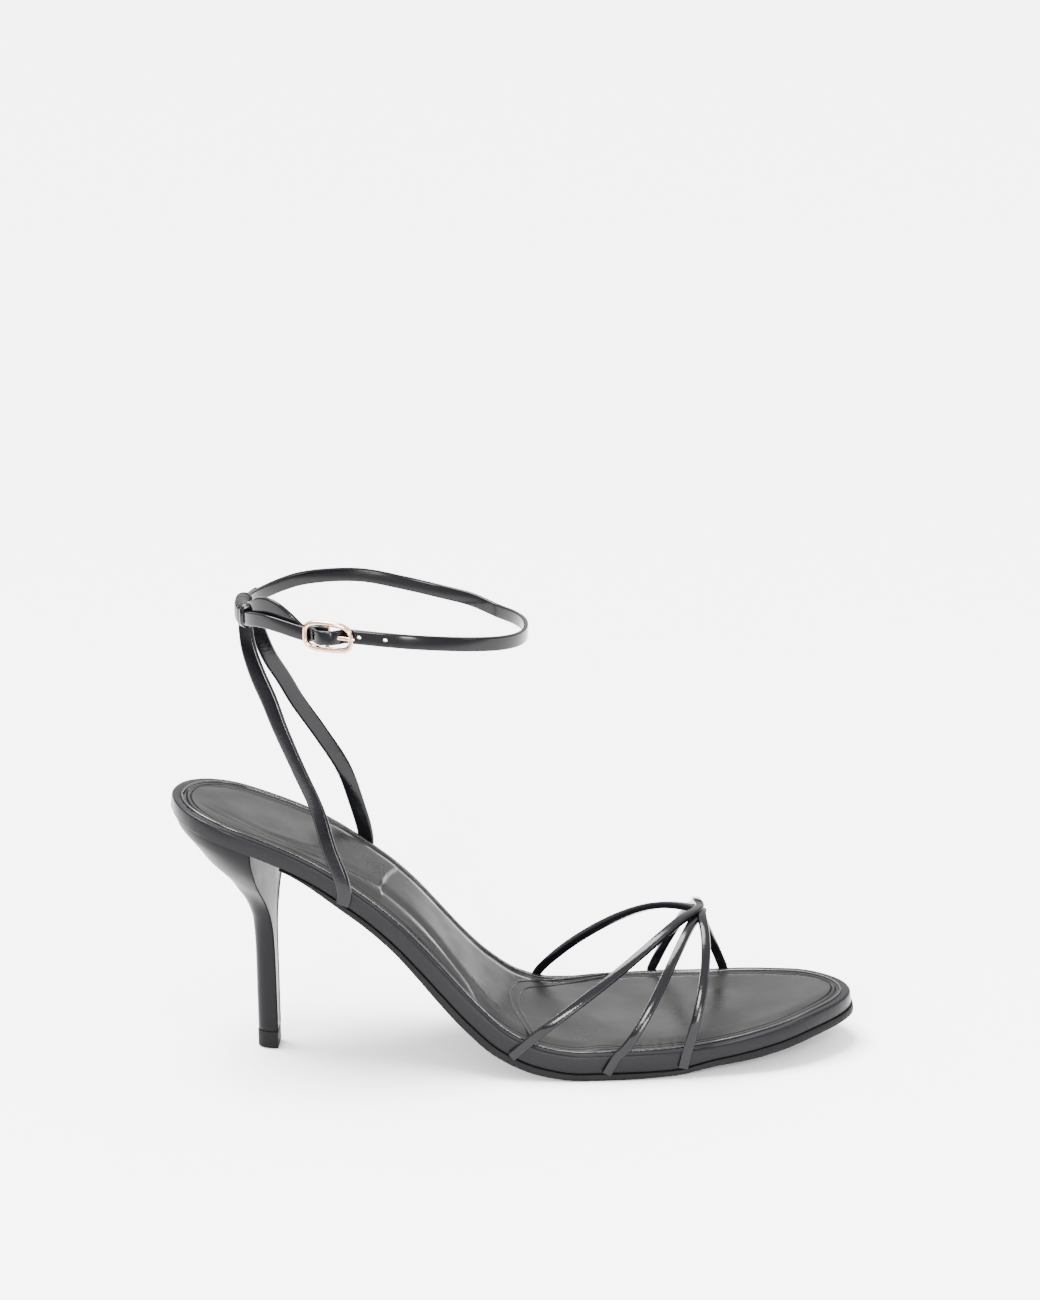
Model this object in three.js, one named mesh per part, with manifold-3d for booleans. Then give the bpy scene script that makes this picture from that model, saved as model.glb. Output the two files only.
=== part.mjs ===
// Strappy high-heeled sandal, right shoe, as a scene graph of separate closed pieces
// Millimetres, +Z up, +X towards the toe, -Y towards the outer side of the foot
import * as THREE from "three";
import { mergeVertices } from "three/addons/utils/BufferGeometryUtils.js";
import Module from "manifold-3d";

const wasm = await Module();
wasm.setup();
const degrees = THREE.MathUtils.degToRad;
const mix = THREE.MathUtils.lerp;

// Footbed
const bedLength = 219.5; // seen from above
const seatWidth = 48;
const ballWidth = 69.5;
const toeAside = 12; // toe tip's distance to the inner side of the heel's middle line
const heelLift = 79.6; // top of the seat's back edge above the top of the ball
const seatBand = 5.2; // height of the wrapped side band at four places
const waistBand = 5.2;
const ballBand = 6.1;
const toeBand = 4.6;
const bandRound = 0.8;

// Outsole
const waistSole = 1.7;
const archSole = 2.4;
const ballSole = 2.1;
const toeSole = 2.4;
const soleProud = 0.5; // beyond the band all round

// Padded insole in its recess
const recessInset = 3.1;
const recessDepth = 1.2;
const insolePad = 2; // thickness at the middle
const insoleEdge = 1;
const padRise = 5; // from the pad's edge to its full thickness
const heelCup = 1.6; // depth of the hollow for the heel

// Heel and its top piece
const breastStation = 32.2; // middle of the breast along the footbed, from the seat's back
const breastSkew = 4.2; // its outer corner's distance behind the middle, and its inner corner's ahead
const breastHollow = 0.9; // by which it curves back below the seat
const heelInset = 0.4;
const tipBack = 25.6;
const tipDepth = 6.7;
const tipWidth = 8;
const tipRise = 5.8;
const topPieceProud = 0.15;

// Toe straps and the knot where they cross
const toeStrapWidth = 2.9;
const toeStrapThickness = 1.7;
const toeStrapFlat = 1.2; // thickness where a strap lies on the band
const toeStrapCrown = 0.3;
const toeStrapFoot = 3.7; // width there
const knotForward = 169.3;
const knotAside = 6;
const knotHeight = 37.6; // above the top of the ball
const knotLength = 7;
const knotThickness = 4.6;

// Back straps and the sleeve that they form
const backStrapWidth = 5.2;
const backStrapThickness = 1.6;
const lateralStrapStation = 57.8;
const medialStrapStation = 60.2;
const sleeveWidth = 15;
const sleeveWall = 1;
const sleeveMiddle = -9; // turn round the leg, in degrees to the outer side

// Ankle strap, one long strap that laps over itself at the buckle side
const ankleHeight = 148.5; // middle of the strap at the back
const loopBack = 25.3;
const loopLength = 88;
const loopWidth = 65.6;
const loopDip = 6.6; // fall of the strap from the back to the front
const ankleStrapWidth = 4.5;
const ankleStrapThickness = 1.4;
const holeDiameter = 1.7;
const holeSpacing = 6.8;

// Buckle
const buckleLength = 15.8;
const buckleHeight = 9.8;
const buckleWire = 1.7;
const buckleSquareness = 3.4;
const buckleTilt = 0.08;
const buckleOut = 1.4; // middle of the frame outside the middle of the strap
const barDiameter = 1.2;
const eyeWall = 0.8; // strap leather around the bar
const prongWidth = 1.2;
const prongThickness = 0.7;
const prongGap = 0.2;
const prongHole = 3.7; // ahead of the bar

// Room between pieces that touch in the real shoe
const clearance = 0.3;

const treadTop = ballBand + clearance + ballSole;

// Fall of the footbed: share of its length, share of the heel's lift
const profileRows = [
  { at: 0, lift: 1 },
  { at: 0.107, lift: 0.905 },
  { at: 0.208, lift: 0.787 },
  { at: 0.298, lift: 0.62 },
  { at: 0.344, lift: 0.508 },
  { at: 0.384, lift: 0.388 },
  { at: 0.419, lift: 0.278 },
  { at: 0.455, lift: 0.174 },
  { at: 0.5, lift: 0.074 },
  { at: 0.55, lift: 0.019 },
  { at: 0.6, lift: 0 },
  { at: 0.66, lift: 0 },
  { at: 0.71, lift: 0.003 },
  { at: 0.78, lift: 0.017 },
  { at: 0.88, lift: 0.06 },
  { at: 0.94, lift: 0.093 },
  { at: 1, lift: 0.112 },
];

// Outline before its ends are rounded: ball is how far the width has gone from the seat's to the
// ball's, lateral and medial are the two sides as shares of that width
const outlineRows = [
  { at: 0.11, ball: 0, lateral: 0.471, medial: 0.525 },
  { at: 0.21, ball: 0, lateral: 0.477, medial: 0.55 },
  { at: 0.318, ball: 0.1, lateral: 0.461, medial: 0.544 },
  { at: 0.418, ball: 0.3, lateral: 0.422, medial: 0.503 },
  { at: 0.511, ball: 0.7, lateral: 0.403, medial: 0.539 },
  { at: 0.621, ball: 1, lateral: 0.363, medial: 0.633 },
  { at: 0.722, ball: 1, lateral: 0.328, medial: 0.673 },
  { at: 0.823, ball: 1, lateral: 0.265, medial: 0.633 },
  { at: 0.9, ball: 1, lateral: 0.216, medial: 0.578 },
  { at: 1, ball: 1, lateral: 0.13, medial: 0.512 },
];
const seatRounding = 0.12; // share of the length that each end takes to close
const toeRounding = 0.2;
const roundingPower = 2.3;

const bandRows = [
  { at: 0, band: seatBand, sole: waistSole },
  { at: 0.35, band: waistBand, sole: waistSole },
  { at: 0.44, band: mix(waistBand, ballBand, 0.2), sole: archSole },
  { at: 0.52, band: mix(waistBand, ballBand, 0.6), sole: archSole },
  { at: 0.6, band: ballBand, sole: ballSole },
  { at: 0.66, band: ballBand, sole: ballSole },
  { at: 0.73, band: ballBand, sole: 0.8 * ballSole },
  { at: 0.8, band: toeBand, sole: 0.85 * toeSole },
  { at: 0.87, band: toeBand, sole: 1.04 * toeSole },
  { at: 1, band: toeBand, sole: toeSole },
];

// Heel from the seat down: share of the fall, how far back and sides have drawn in to the tip, and share of
// the breast's hollow
const heelRows = [
  { fall: 0, back: 0, side: 0, breast: 0 },
  { fall: 0.05, back: 0.051, side: 0.05, breast: 0.3 },
  { fall: 0.1, back: 0.17, side: 0.13, breast: 0.6 },
  { fall: 0.15, back: 0.285, side: 0.24, breast: 0.8 },
  { fall: 0.2, back: 0.386, side: 0.39, breast: 0.95 },
  { fall: 0.25, back: 0.538, side: 0.54, breast: 1 },
  { fall: 0.3, back: 0.668, side: 0.7, breast: 0.9 },
  { fall: 0.35, back: 0.766, side: 0.82, breast: 0.76 },
  { fall: 0.4, back: 0.872, side: 0.885, breast: 0.64 },
  { fall: 0.5, back: 0.97, side: 0.955, breast: 0.45 },
  { fall: 0.65, back: 0.992, side: 0.99, breast: 0.24 },
  { fall: 0.85, back: 0.996, side: 1, breast: 0.07 },
  { fall: 1, back: 1, side: 1, breast: 0 },
];

// Toe straps: lateral foot as a share of the footbed's length, its lean in shares of the band, pace of the
// run to the knot and bow in shares of the knot's height; the same for the medial side; lap in the knot
const toeStrapRows = [
  {
    lateral: 0.519, lean: 0.88, pace: 1.145, bow: 0.21,
    medial: 0.815, medialPace: 1.14, medialBow: -0.13, lap: 0.2,
  },
  {
    lateral: 0.652, lean: 0.78, pace: 0.75, bow: 0.02,
    medial: 0.705, medialPace: 1.18, medialBow: 0.12, lap: -0.2,
  },
  {
    lateral: 0.754, lean: 0.3, pace: 0.83, bow: 0.09,
    medial: 0.528, medialPace: 1.35, medialBow: 0.2, lap: 0.04,
  },
];

// Back straps: share of the rise to the sleeve, and of the way forwards to it on each side
const backStrapRows = [
  { rise: 0.03, lateral: 0.025, medial: 0.02 },
  { rise: 0.15, lateral: 0.139, medial: 0.104 },
  { rise: 0.3, lateral: 0.262, medial: 0.2 },
  { rise: 0.45, lateral: 0.429, medial: 0.385 },
  { rise: 0.6, lateral: 0.6, medial: 0.595 },
  { rise: 0.75, lateral: 0.768, medial: 0.748 },
  { rise: 0.9, lateral: 0.907, medial: 0.85 },
  { rise: 1, lateral: 1, medial: 1 },
];

// Ankle loop seen from the side: share of its length, dip of each side in shares of the whole dip
const loopRows = [
  { at: 0, lateral: 0, medial: 0 },
  { at: 0.05, lateral: -0.1, medial: -0.15 },
  { at: 0.12, lateral: -0.21, medial: -0.39 },
  { at: 0.22, lateral: 0.05, medial: -0.47 },
  { at: 0.35, lateral: -0.03, medial: -0.42 },
  { at: 0.5, lateral: 0.09, medial: -0.07 },
  { at: 0.65, lateral: 0.27, medial: 0.33 },
  { at: 0.8, lateral: 0.52, medial: 0.65 },
  { at: 0.92, lateral: 0.79, medial: 1 },
  { at: 1, lateral: 1, medial: 1 },
];
const loopPower = 2.15;

// Smooth value of one column of a table, without overshoot between its rows
function readTable(rows, key, place, value) {
  const last = rows.length - 1;
  const at = THREE.MathUtils.clamp(place, rows[0][key], rows[last][key]);
  const slope = (i) => (rows[i + 1][value] - rows[i][value]) / (rows[i + 1][key] - rows[i][key]);
  const tangent = (i) => {
    if (i === 0) return slope(0);
    if (i === last) return slope(last - 1);
    const [before, after] = [slope(i - 1), slope(i)];
    return before * after <= 0 ? 0 : (2 * before * after) / (before + after);
  };
  let i = 0;
  while (i < last - 1 && at > rows[i + 1][key]) i++;
  const span = rows[i + 1][key] - rows[i][key];
  const t = (at - rows[i][key]) / span;
  const [a, b] = [rows[i][value], rows[i + 1][value]];
  const [ta, tb] = [tangent(i) * span, tangent(i + 1) * span];
  return (2 * a - 2 * b + ta + tb) * t ** 3 + (3 * b - 3 * a - 2 * ta - tb) * t ** 2 + ta * t + a;
}

// Height of the footbed's top at a station, in millimetres from the seat's back
function bedHeight(station) {
  return treadTop + heelLift * readTable(profileRows, "at", station / bedLength, "lift");
}

// Upward normal of the footbed there, which turns upright at the back of the seat
function bedNormal(station) {
  const step = 0.5;
  const rise = (bedHeight(station + step) - bedHeight(station - step)) / (2 * step);
  const tilt = THREE.MathUtils.smoothstep(station, 0, 2 * seatRounding * bedLength);
  return new THREE.Vector3(-rise * tilt, 0, 1).normalize();
}

// Share of the width that is left where an end of the outline closes
function endRounding(station, inset) {
  const seatEnd = seatRounding * bedLength;
  const toeStart = (1 - toeRounding) * bedLength;
  const past = station < seatEnd
    ? (seatEnd - station) / (seatEnd - inset)
    : (station - toeStart) / (bedLength - inset - toeStart);
  return Math.sqrt(Math.max(0, 1 - Math.max(0, past) ** roundingPower));
}

// Edge of the footbed, or of a line set in from it: side is -1 for lateral and 1 for medial
function edge(station, side, inset = 0) {
  const at = station / bedLength;
  const width = mix(seatWidth, ballWidth, readTable(outlineRows, "at", at, "ball"));
  const share = readTable(outlineRows, "at", at, side < 0 ? "lateral" : "medial");
  const middle = at < 0.5 ? 0 : toeAside;
  return middle + (side * (width * share - inset) - middle) * endRounding(station, inset);
}

// Point at a station, a distance from the middle line and a depth under the footbed's top
function bedPoint(station, aside, depth) {
  const point = new THREE.Vector3(station, aside, bedHeight(station));
  return point.addScaledVector(bedNormal(station), -depth);
}

function bandHeight(station) {
  return readTable(bandRows, "at", station / bedLength, "band");
}

function soleHeight(station) {
  return readTable(bandRows, "at", station / bedLength, "sole");
}

// Stations from a start to an end, close together where an end of the outline is rounded
function stationsBetween(start, end, middleCount = 22, roundCount = 8) {
  const firstTurn = 11;
  const closeUp = (i) => 1 - Math.cos(degrees(mix(firstTurn, 90, i / roundCount)));
  const seatEnd = seatRounding * bedLength;
  const toeStart = (1 - toeRounding) * bedLength;
  const list = [];
  const from = start < seatEnd ? seatEnd : start;
  const to = end > toeStart ? toeStart : end;
  for (let i = 0; start < seatEnd && i < roundCount; i++) {
    list.push(start + (seatEnd - start) * closeUp(i));
  }
  for (let i = 0; i <= middleCount; i++) list.push(mix(from, to, i / middleCount));
  for (let i = roundCount - 1; end > toeStart && i >= 0; i--) {
    list.push(end - (end - toeStart) * closeUp(i));
  }
  return list;
}

// A box of cells whose corners are placed by a function of three whole numbers
function bentBox(along, across, layers, place) {
  const geometry = new THREE.BoxGeometry(along, across, layers, along, across, layers);
  geometry.translate(along / 2, across / 2, layers / 2);
  const corners = geometry.attributes.position;
  for (let i = 0; i < corners.count; i++) {
    const [u, v, w] = [corners.getX(i), corners.getY(i), corners.getZ(i)].map(Math.round);
    corners.setXYZ(i, ...place(u, v, w).toArray());
  }
  return geometry;
}

// A closed ring of tube, placed by a function of the angle around it and the angle in its section
function bentRing(around, section, place) {
  const geometry = new THREE.TorusGeometry(1, 0.5, section, around);
  const corners = geometry.attributes.position;
  const rows = geometry.attributes.uv;
  for (let i = 0; i < corners.count; i++) {
    const turn = (Math.round(rows.getX(i) * around) % around) / around;
    const inside = (Math.round(rows.getY(i) * section) % section) / section;
    corners.setXYZ(i, ...place(turn * 2 * Math.PI, inside * 2 * Math.PI).toArray());
  }
  return geometry;
}

function solidFrom(geometry) {
  const bare = new THREE.BufferGeometry().setAttribute("position", geometry.attributes.position);
  bare.setIndex(geometry.index);
  const merged = mergeVertices(bare, 1e-4);
  return new wasm.Manifold(new wasm.Mesh({
    numProp: 3,
    vertProperties: new Float32Array(merged.attributes.position.array),
    triVerts: new Uint32Array(merged.index.array),
  }));
}

function geometryFrom(solid) {
  const mesh = solid.getMesh();
  const geometry = new THREE.BufferGeometry();
  geometry.setAttribute("position", new THREE.BufferAttribute(mesh.vertProperties, 3));
  geometry.setIndex(new THREE.BufferAttribute(mesh.triVerts, 1));
  geometry.computeVertexNormals();
  return geometry;
}

function joined(geometries) {
  const [first, ...others] = geometries.map(solidFrom);
  return others.reduce((whole, piece) => whole.add(piece), first);
}

// A layer of the sole: its columns are insets from the two edges or shares of what lies between
function slab(stations, columns, layers, outlineInset, depthAt) {
  return bentBox(stations.length - 1, columns.length - 1, layers, (u, v, w) => {
    const station = stations[u];
    const [left, right] = [edge(station, -1, outlineInset), edge(station, 1, outlineInset)];
    const column = columns[v];
    const narrow = Math.min(1, (right - left) / (2.4 * padRise));
    const round = column.edge && (w === 0 || w === layers) ? bandRound : 0;
    const inset = (column.inset + round) * narrow;
    return bedPoint(station, mix(left + inset, right - inset, column.share), depthAt(station, column, w));
  });
}

// Hollow of the heel cup, deepest in the middle of the seat
function cupDepth(station, share) {
  const along = Math.min(1, station / (2 * seatRounding * bedLength));
  return heelCup * Math.sin(Math.PI * along) * (1 - (2 * share - 1) ** 2);
}

const bandColumns = [
  { share: 0, inset: 0, edge: true },
  { share: 0, inset: 2 * bandRound },
  { share: 0.25, inset: 2 * bandRound },
  { share: 0.5, inset: 2 * bandRound },
  { share: 0.75, inset: 2 * bandRound },
  { share: 1, inset: 2 * bandRound },
  { share: 1, inset: 0, edge: true },
];

const padColumns = [
  { share: 0, inset: 0, full: 0 },
  { share: 0, inset: 0.3 * padRise, full: 0.6 },
  { share: 0, inset: padRise, full: 1 },
  { share: 0.25, inset: padRise, full: 1 },
  { share: 0.5, inset: padRise, full: 1 },
  { share: 0.75, inset: padRise, full: 1 },
  { share: 1, inset: padRise, full: 1 },
  { share: 1, inset: 0.3 * padRise, full: 0.6 },
  { share: 1, inset: 0, full: 0 },
];

const insoleInset = recessInset + clearance;

function footbed() {
  const bedStations = stationsBetween(0, bedLength);
  const board = slab(bedStations, bandColumns, 3, 0, (station, column, w) => {
    const round = column.edge ? [0, bandRound, -bandRound, 0][w] : 0;
    const share = column.edge ? [1, 1, 0, 0][w] : [1, 0.67, 0.33, 0][w];
    return bandHeight(station) * share - round;
  });
  const recessStations = stationsBetween(recessInset, bedLength - recessInset);
  const recess = slab(recessStations, padColumns, 1, recessInset, (station, column, w) =>
    w === 0 ? recessDepth + cupDepth(station, column.share) * column.full : -insolePad);
  return geometryFrom(solidFrom(board).subtract(solidFrom(recess)));
}

function insole() {
  const stations = stationsBetween(insoleInset, bedLength - insoleInset);
  return slab(stations, padColumns, 1, insoleInset, (station, column, w) => {
    const under = recessDepth - clearance + cupDepth(station, column.share) * column.full;
    return under - (w === 0 ? 0 : mix(insoleEdge, insolePad, column.full));
  });
}

// Footbed stations from a start to the toe, so that the layers under it keep its facets
function stationsAhead(start) {
  const shortestCell = 2;
  return [start, ...stationsBetween(0, bedLength).filter((station) => station > start + shortestCell)];
}

const soleStart = breastStation + breastSkew + 6 * clearance;

function outsole() {
  const stations = stationsAhead(soleStart);
  const columns = [0, 0.2, 0.5, 0.8, 1].map((share) => ({ share, inset: 0 }));
  return slab(stations, columns, 1, -soleProud, (station, column, w) =>
    bandHeight(station) + clearance + (w === 0 ? soleHeight(station) : 0));
}

// Outline of the heel's tip: angle 0 is the back and plus or minus 90 degrees the breast's corners
function tipPoint(angle, grow, height) {
  const breast = tipBack + tipDepth + grow;
  return new THREE.Vector3(
    breast - (tipDepth + 2 * grow) * Math.cos(angle) ** 0.8,
    (tipWidth / 2 + grow) * Math.sin(angle),
    height,
  );
}

const breastCorner = degrees(80);
const backBlend = degrees(4); // turn in which the two sides of the seat meet at the back

function heel() {
  const [across, depth] = [16, 4];
  return bentBox(depth, across, heelRows.length - 1, (u, v, w) => {
    const angle = mix(-breastCorner, breastCorner, v / across);
    const row = heelRows[heelRows.length - 1 - w];
    const ahead = breastStation + breastSkew * Math.sin(angle);
    const seatStation = mix(ahead, 2 * heelInset, Math.cos(angle));
    const station = mix(seatStation, ahead, u / depth);
    const side = angle < 0 ? -1 : 1;
    const reach = Math.min(1, Math.abs(angle) / backBlend);
    const aside = edge(seatStation, side, heelInset) * reach;
    const top = bedPoint(station, aside, bandHeight(station) + clearance);
    const tip = tipPoint(angle, 0, tipRise + clearance);
    tip.x = mix(tip.x, tipBack + tipDepth, u / depth);
    return new THREE.Vector3(
      mix(top.x, tip.x, row.back) - breastHollow * row.breast * (u / depth),
      mix(top.y, tip.y, row.side),
      mix(top.z, tip.z, row.fall),
    );
  });
}

function heelTopPiece() {
  const across = 12;
  return bentBox(1, across, 1, (u, v, w) => {
    const angle = mix(-breastCorner, breastCorner, v / across);
    const point = tipPoint(angle, topPieceProud, w * tipRise);
    if (u === 1) point.x = tipBack + tipDepth + topPieceProud;
    return point;
  });
}

// A flat strap along a smooth route, with two cells between its points, facing outwards all the way
function ribbon(points, widthAt, thicknessAt, facingAt, crown = 0) {
  const route = new THREE.CatmullRomCurve3(points, false, "centripetal");
  const cells = 2 * (points.length - 1);
  return bentBox(cells, 2, 1, (u, v, w) => {
    const share = u / cells;
    const point = route.getPoint(share);
    const along = route.getTangent(share);
    const out = facingAt(point, share);
    out.addScaledVector(along, -out.dot(along)).normalize();
    const across = new THREE.Vector3().crossVectors(out, along);
    const lift = v === 1 && w === 1 ? crown : 0;
    point.addScaledVector(across, (v / 2 - 0.5) * widthAt(share));
    return point.addScaledVector(out, (w - 0.5) * thicknessAt(share) + lift);
  });
}

// Point on the outside of the band, under a strap's middle line
function bandSide(station, side, depth, thickness) {
  const aside = edge(station, side) + side * (clearance + thickness / 2);
  return bedPoint(station, aside, depth);
}

// Outward direction of the footbed's edge
function edgeOut(station, side) {
  const step = 1;
  const run = (edge(station + step, side) - edge(station - step, side)) / (2 * step);
  return new THREE.Vector3(-side * run, side, 0).normalize();
}

// All that lies under the band, to trim the straps' ends above the outsole
function underBand() {
  const columns = [0, 0.5, 1].map((share) => ({ share, inset: 0 }));
  const reach = 4 * backStrapWidth;
  return solidFrom(slab(stationsAhead(breastStation), columns, 1, -reach / 2, (station, column, w) =>
    bandHeight(station) + (w === 0 ? reach : 0)));
}

const knot = new THREE.Vector3(knotForward, knotAside, treadTop + knotHeight);

// Points of a strap's foot on the band, from below its edge, where the end is trimmed, to the top
function strapFoot(station, side, lean, thickness) {
  const overrun = 1.3;
  return [overrun, 0.5, 0].map((share) =>
    bandSide(station - share * lean, side, share * bandHeight(station), thickness));
}

// One half of a toe strap from the band to the knot, a quarter of an ellipse seen from the front
function toeStrapHalf(station, side, lean, pace, bow, height) {
  const points = strapFoot(station, side, lean * bandHeight(station), toeStrapFlat);
  const foot = points[points.length - 1];
  for (const angle of [4, 16, 28, 40, 52, 64, 76]) {
    const t = angle / 90;
    points.push(new THREE.Vector3(
      mix(foot.x, knot.x, t ** pace) + bow * knotHeight * Math.sin(Math.PI * t),
      mix(knot.y, foot.y, Math.cos(degrees(angle))),
      mix(foot.z, height, Math.sin(degrees(angle))),
    ));
  }
  return points;
}

function toeStrap(row) {
  const height = knot.z + row.lap * knotThickness;
  const middle = new THREE.Vector3(knot.x, knot.y, height);
  const lateral = toeStrapHalf(row.lateral * bedLength, -1, row.lean, row.pace, row.bow, height);
  const medial = toeStrapHalf(row.medial * bedLength, 1, 0, row.medialPace, row.medialBow, height);
  const points = [...lateral, middle, ...medial.reverse()];
  const footShare = 0.19;
  const onBand = (share) =>
    THREE.MathUtils.smoothstep(footShare - Math.min(share, 1 - share), 0, footShare / 3);
  const facing = (point, share) => {
    const side = share < 0.5 ? -1 : 1;
    const flat = edgeOut((side < 0 ? row.lateral : row.medial) * bedLength, side);
    const round = new THREE.Vector3(0, point.y - knotAside, point.z - treadTop / 2).normalize();
    return round.lerp(flat, onBand(share));
  };
  return ribbon(
    points,
    (share) => mix(toeStrapWidth, toeStrapFoot, onBand(share)),
    (share) => mix(toeStrapThickness, toeStrapFlat, onBand(share)),
    facing,
    toeStrapCrown,
  );
}

function toeStraps() {
  const wrap = new THREE.SphereGeometry(0.5, 12, 8);
  wrap.scale(knotLength, knotThickness, knotThickness);
  wrap.translate(...knot.toArray());
  return geometryFrom(joined([...toeStrapRows.map(toeStrap), wrap]).subtract(underBand()));
}

// Point of the ankle loop: turn 0 is the back, -90 degrees the lateral side, 180 the front
function loopPoint(turn, outwards = 0, rise = 0) {
  const angle = degrees(turn);
  const bent = (value) => Math.sign(value) * Math.abs(value) ** (2 / loopPower);
  const spot = (a) => new THREE.Vector2(
    (1 - bent(Math.cos(a))) * (loopLength / 2),
    bent(Math.sin(a)) * (loopWidth / 2),
  );
  const here = spot(angle);
  const ahead = spot(angle + 0.02).sub(spot(angle - 0.02)).normalize();
  const side = Math.sin(angle) < 0 ? "lateral" : "medial";
  const dip = loopDip * readTable(loopRows, "at", here.x / loopLength, side);
  return new THREE.Vector3(
    loopBack + here.x - ahead.y * outwards,
    here.y + ahead.x * outwards,
    ankleHeight - dip + rise,
  );
}

// Millimetres along the loop for each degree of its turn, about one turn
function turnPace(turn) {
  const step = 4;
  return loopPoint(turn + step).distanceTo(loopPoint(turn - step)) / (2 * step);
}

const sleeveTurn = sleeveWidth / 2 / turnPace(sleeveMiddle); // half of the turn that the sleeve covers
const layerPitch = ankleStrapThickness + clearance;
const underRise = 0.35; // share of the strap's width by which the inner layer rides up in the sleeve
const overRise = -0.15; // and the outer one sits low
const buckleTurn = -71.5; // the buckle's bar
const bucklePace = turnPace(buckleTurn);

// A back strap from the band to the sleeve, where it ends beside the other one; apartPace is the power by
// which it draws in from the band's side
function backStrap(station, side, apartPace) {
  const points = strapFoot(station, side, -0.25, backStrapThickness);
  const foot = points.pop();
  const sleeve = loopPoint(0, layerPitch + clearance + sleeveWall / 2, -0.6 * ankleStrapWidth);
  const aside = side * 0.2 * backStrapWidth;
  for (const row of backStrapRows) {
    points.push(new THREE.Vector3(
      mix(foot.x, sleeve.x, side < 0 ? row.lateral : row.medial),
      mix(foot.y, aside, row.rise ** apartPace),
      mix(foot.z, sleeve.z, row.rise),
    ));
  }
  points.push(new THREE.Vector3(sleeve.x, aside, sleeve.z + ankleStrapWidth / 2));
  const flat = edgeOut(station, side);
  const legCentre = loopBack + 0.22 * loopLength;
  const facing = (point, share) => {
    const round = new THREE.Vector3(point.x - legCentre, point.y, 0).normalize();
    return round.lerp(flat, 1 - THREE.MathUtils.smoothstep(share, 0.15, 0.4));
  };
  return ribbon(points, () => backStrapWidth, () => backStrapThickness, facing);
}

// A length of the ankle loop as a bent block, from one turn to another
function loopBlock(from, to, cells, inner, outer, low, high) {
  return bentBox(cells, 1, 1, (u, v, w) =>
    loopPoint(mix(from, to, u / cells), v === 0 ? inner : outer, w === 0 ? low : high));
}

function backStraps() {
  const half = ankleStrapWidth / 2;
  const room = {
    inner: -ankleStrapThickness / 2 - clearance,
    outer: layerPitch + ankleStrapThickness / 2 + clearance,
    low: overRise * ankleStrapWidth - half - clearance,
    high: underRise * ankleStrapWidth + half + clearance,
  };
  const shell = loopBlock(
    sleeveMiddle - sleeveTurn, sleeveMiddle + sleeveTurn, 6,
    room.inner - sleeveWall, room.outer + sleeveWall, room.low - sleeveWall, room.high + sleeveWall,
  );
  const passage = loopBlock(
    sleeveMiddle - 2 * sleeveTurn, sleeveMiddle + 2 * sleeveTurn, 12,
    room.inner, room.outer, room.low, room.high,
  );
  const whole = joined([
    backStrap(lateralStrapStation, -1, 1.4),
    backStrap(medialStrapStation, 1, 2.35),
    shell,
  ]);
  return geometryFrom(whole.subtract(solidFrom(passage)).subtract(underBand()));
}

// Point beside the buckle's bar: along is towards the front, then outwards and up
function bucklePoint(along, outwards, rise = 0) {
  return loopPoint(buckleTurn - along / bucklePace, outwards, rise);
}

const barOut = buckleOut - buckleWire / 2;
const eyeOuter = barDiameter / 2 + clearance + eyeWall;
const overBar = barOut + eyeOuter + layerPitch - ankleStrapThickness / 2;
const underFrame = buckleOut - buckleWire / 2 - 1.5 * clearance - ankleStrapThickness / 2;
const endAlong = (buckleLength - buckleWire) / 2;

// The strap's way through the buckle: shares of the frame's half length ahead of the bar, and over, from
// under the frame at 0 to over the bar at 1
const weaveRows = [
  { along: -1.14, over: 0 },
  { along: -0.76, over: 0 },
  { along: -0.53, over: 0.5 },
  { along: -0.27, over: 0.95 },
  { along: 0, over: 1 },
  { along: 0.27, over: 0.95 },
  { along: 0.53, over: 0.5 },
  { along: 0.76, over: 0 },
  { along: 1.09, over: 0 },
  { along: 1.4, over: 0 },
];

// Layers between the buckle and the sleeve: turn around the loop, layers outwards of the loop's own line,
// and rise in shares of the strap's width
const underRows = [
  { turn: -50, layers: -0.76, rise: 0.25 },
  { turn: -42, layers: -0.45, rise: 0.6 },
  { turn: -34, layers: -0.18, rise: 0.68 },
  { turn: -27, layers: 0, rise: 0.42 },
  { turn: -20, layers: 0, rise: underRise },
  { turn: -9, layers: 0, rise: underRise },
  { turn: 3, layers: 0, rise: underRise },
  { turn: 10, layers: 0, rise: 0.25 },
  { turn: 20, layers: 0, rise: 0.1 },
  { turn: 34, layers: 0, rise: 0 },
];
const overRows = [
  { turn: -48, layers: 0.24, rise: 0.12 },
  { turn: -38, layers: 0.7, rise: 0.12 },
  { turn: -29, layers: 1, rise: 0 },
  { turn: -20, layers: 1, rise: overRise },
  { turn: -9, layers: 1, rise: overRise },
  { turn: 3, layers: 1, rise: overRise },
  { turn: 9, layers: 1, rise: -0.1 },
  { turn: 16, layers: 1, rise: 0 },
  { turn: 22, layers: 1, rise: 0.02 },
];

// Distance of the strap's middle outside the loop's line, a distance ahead of the bar
function weaveOut(along) {
  return mix(underFrame, overBar, readTable(weaveRows, "along", along / endAlong, "over"));
}

function layerPoint(row) {
  return loopPoint(row.turn, row.layers * layerPitch, row.rise * ankleStrapWidth);
}

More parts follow.
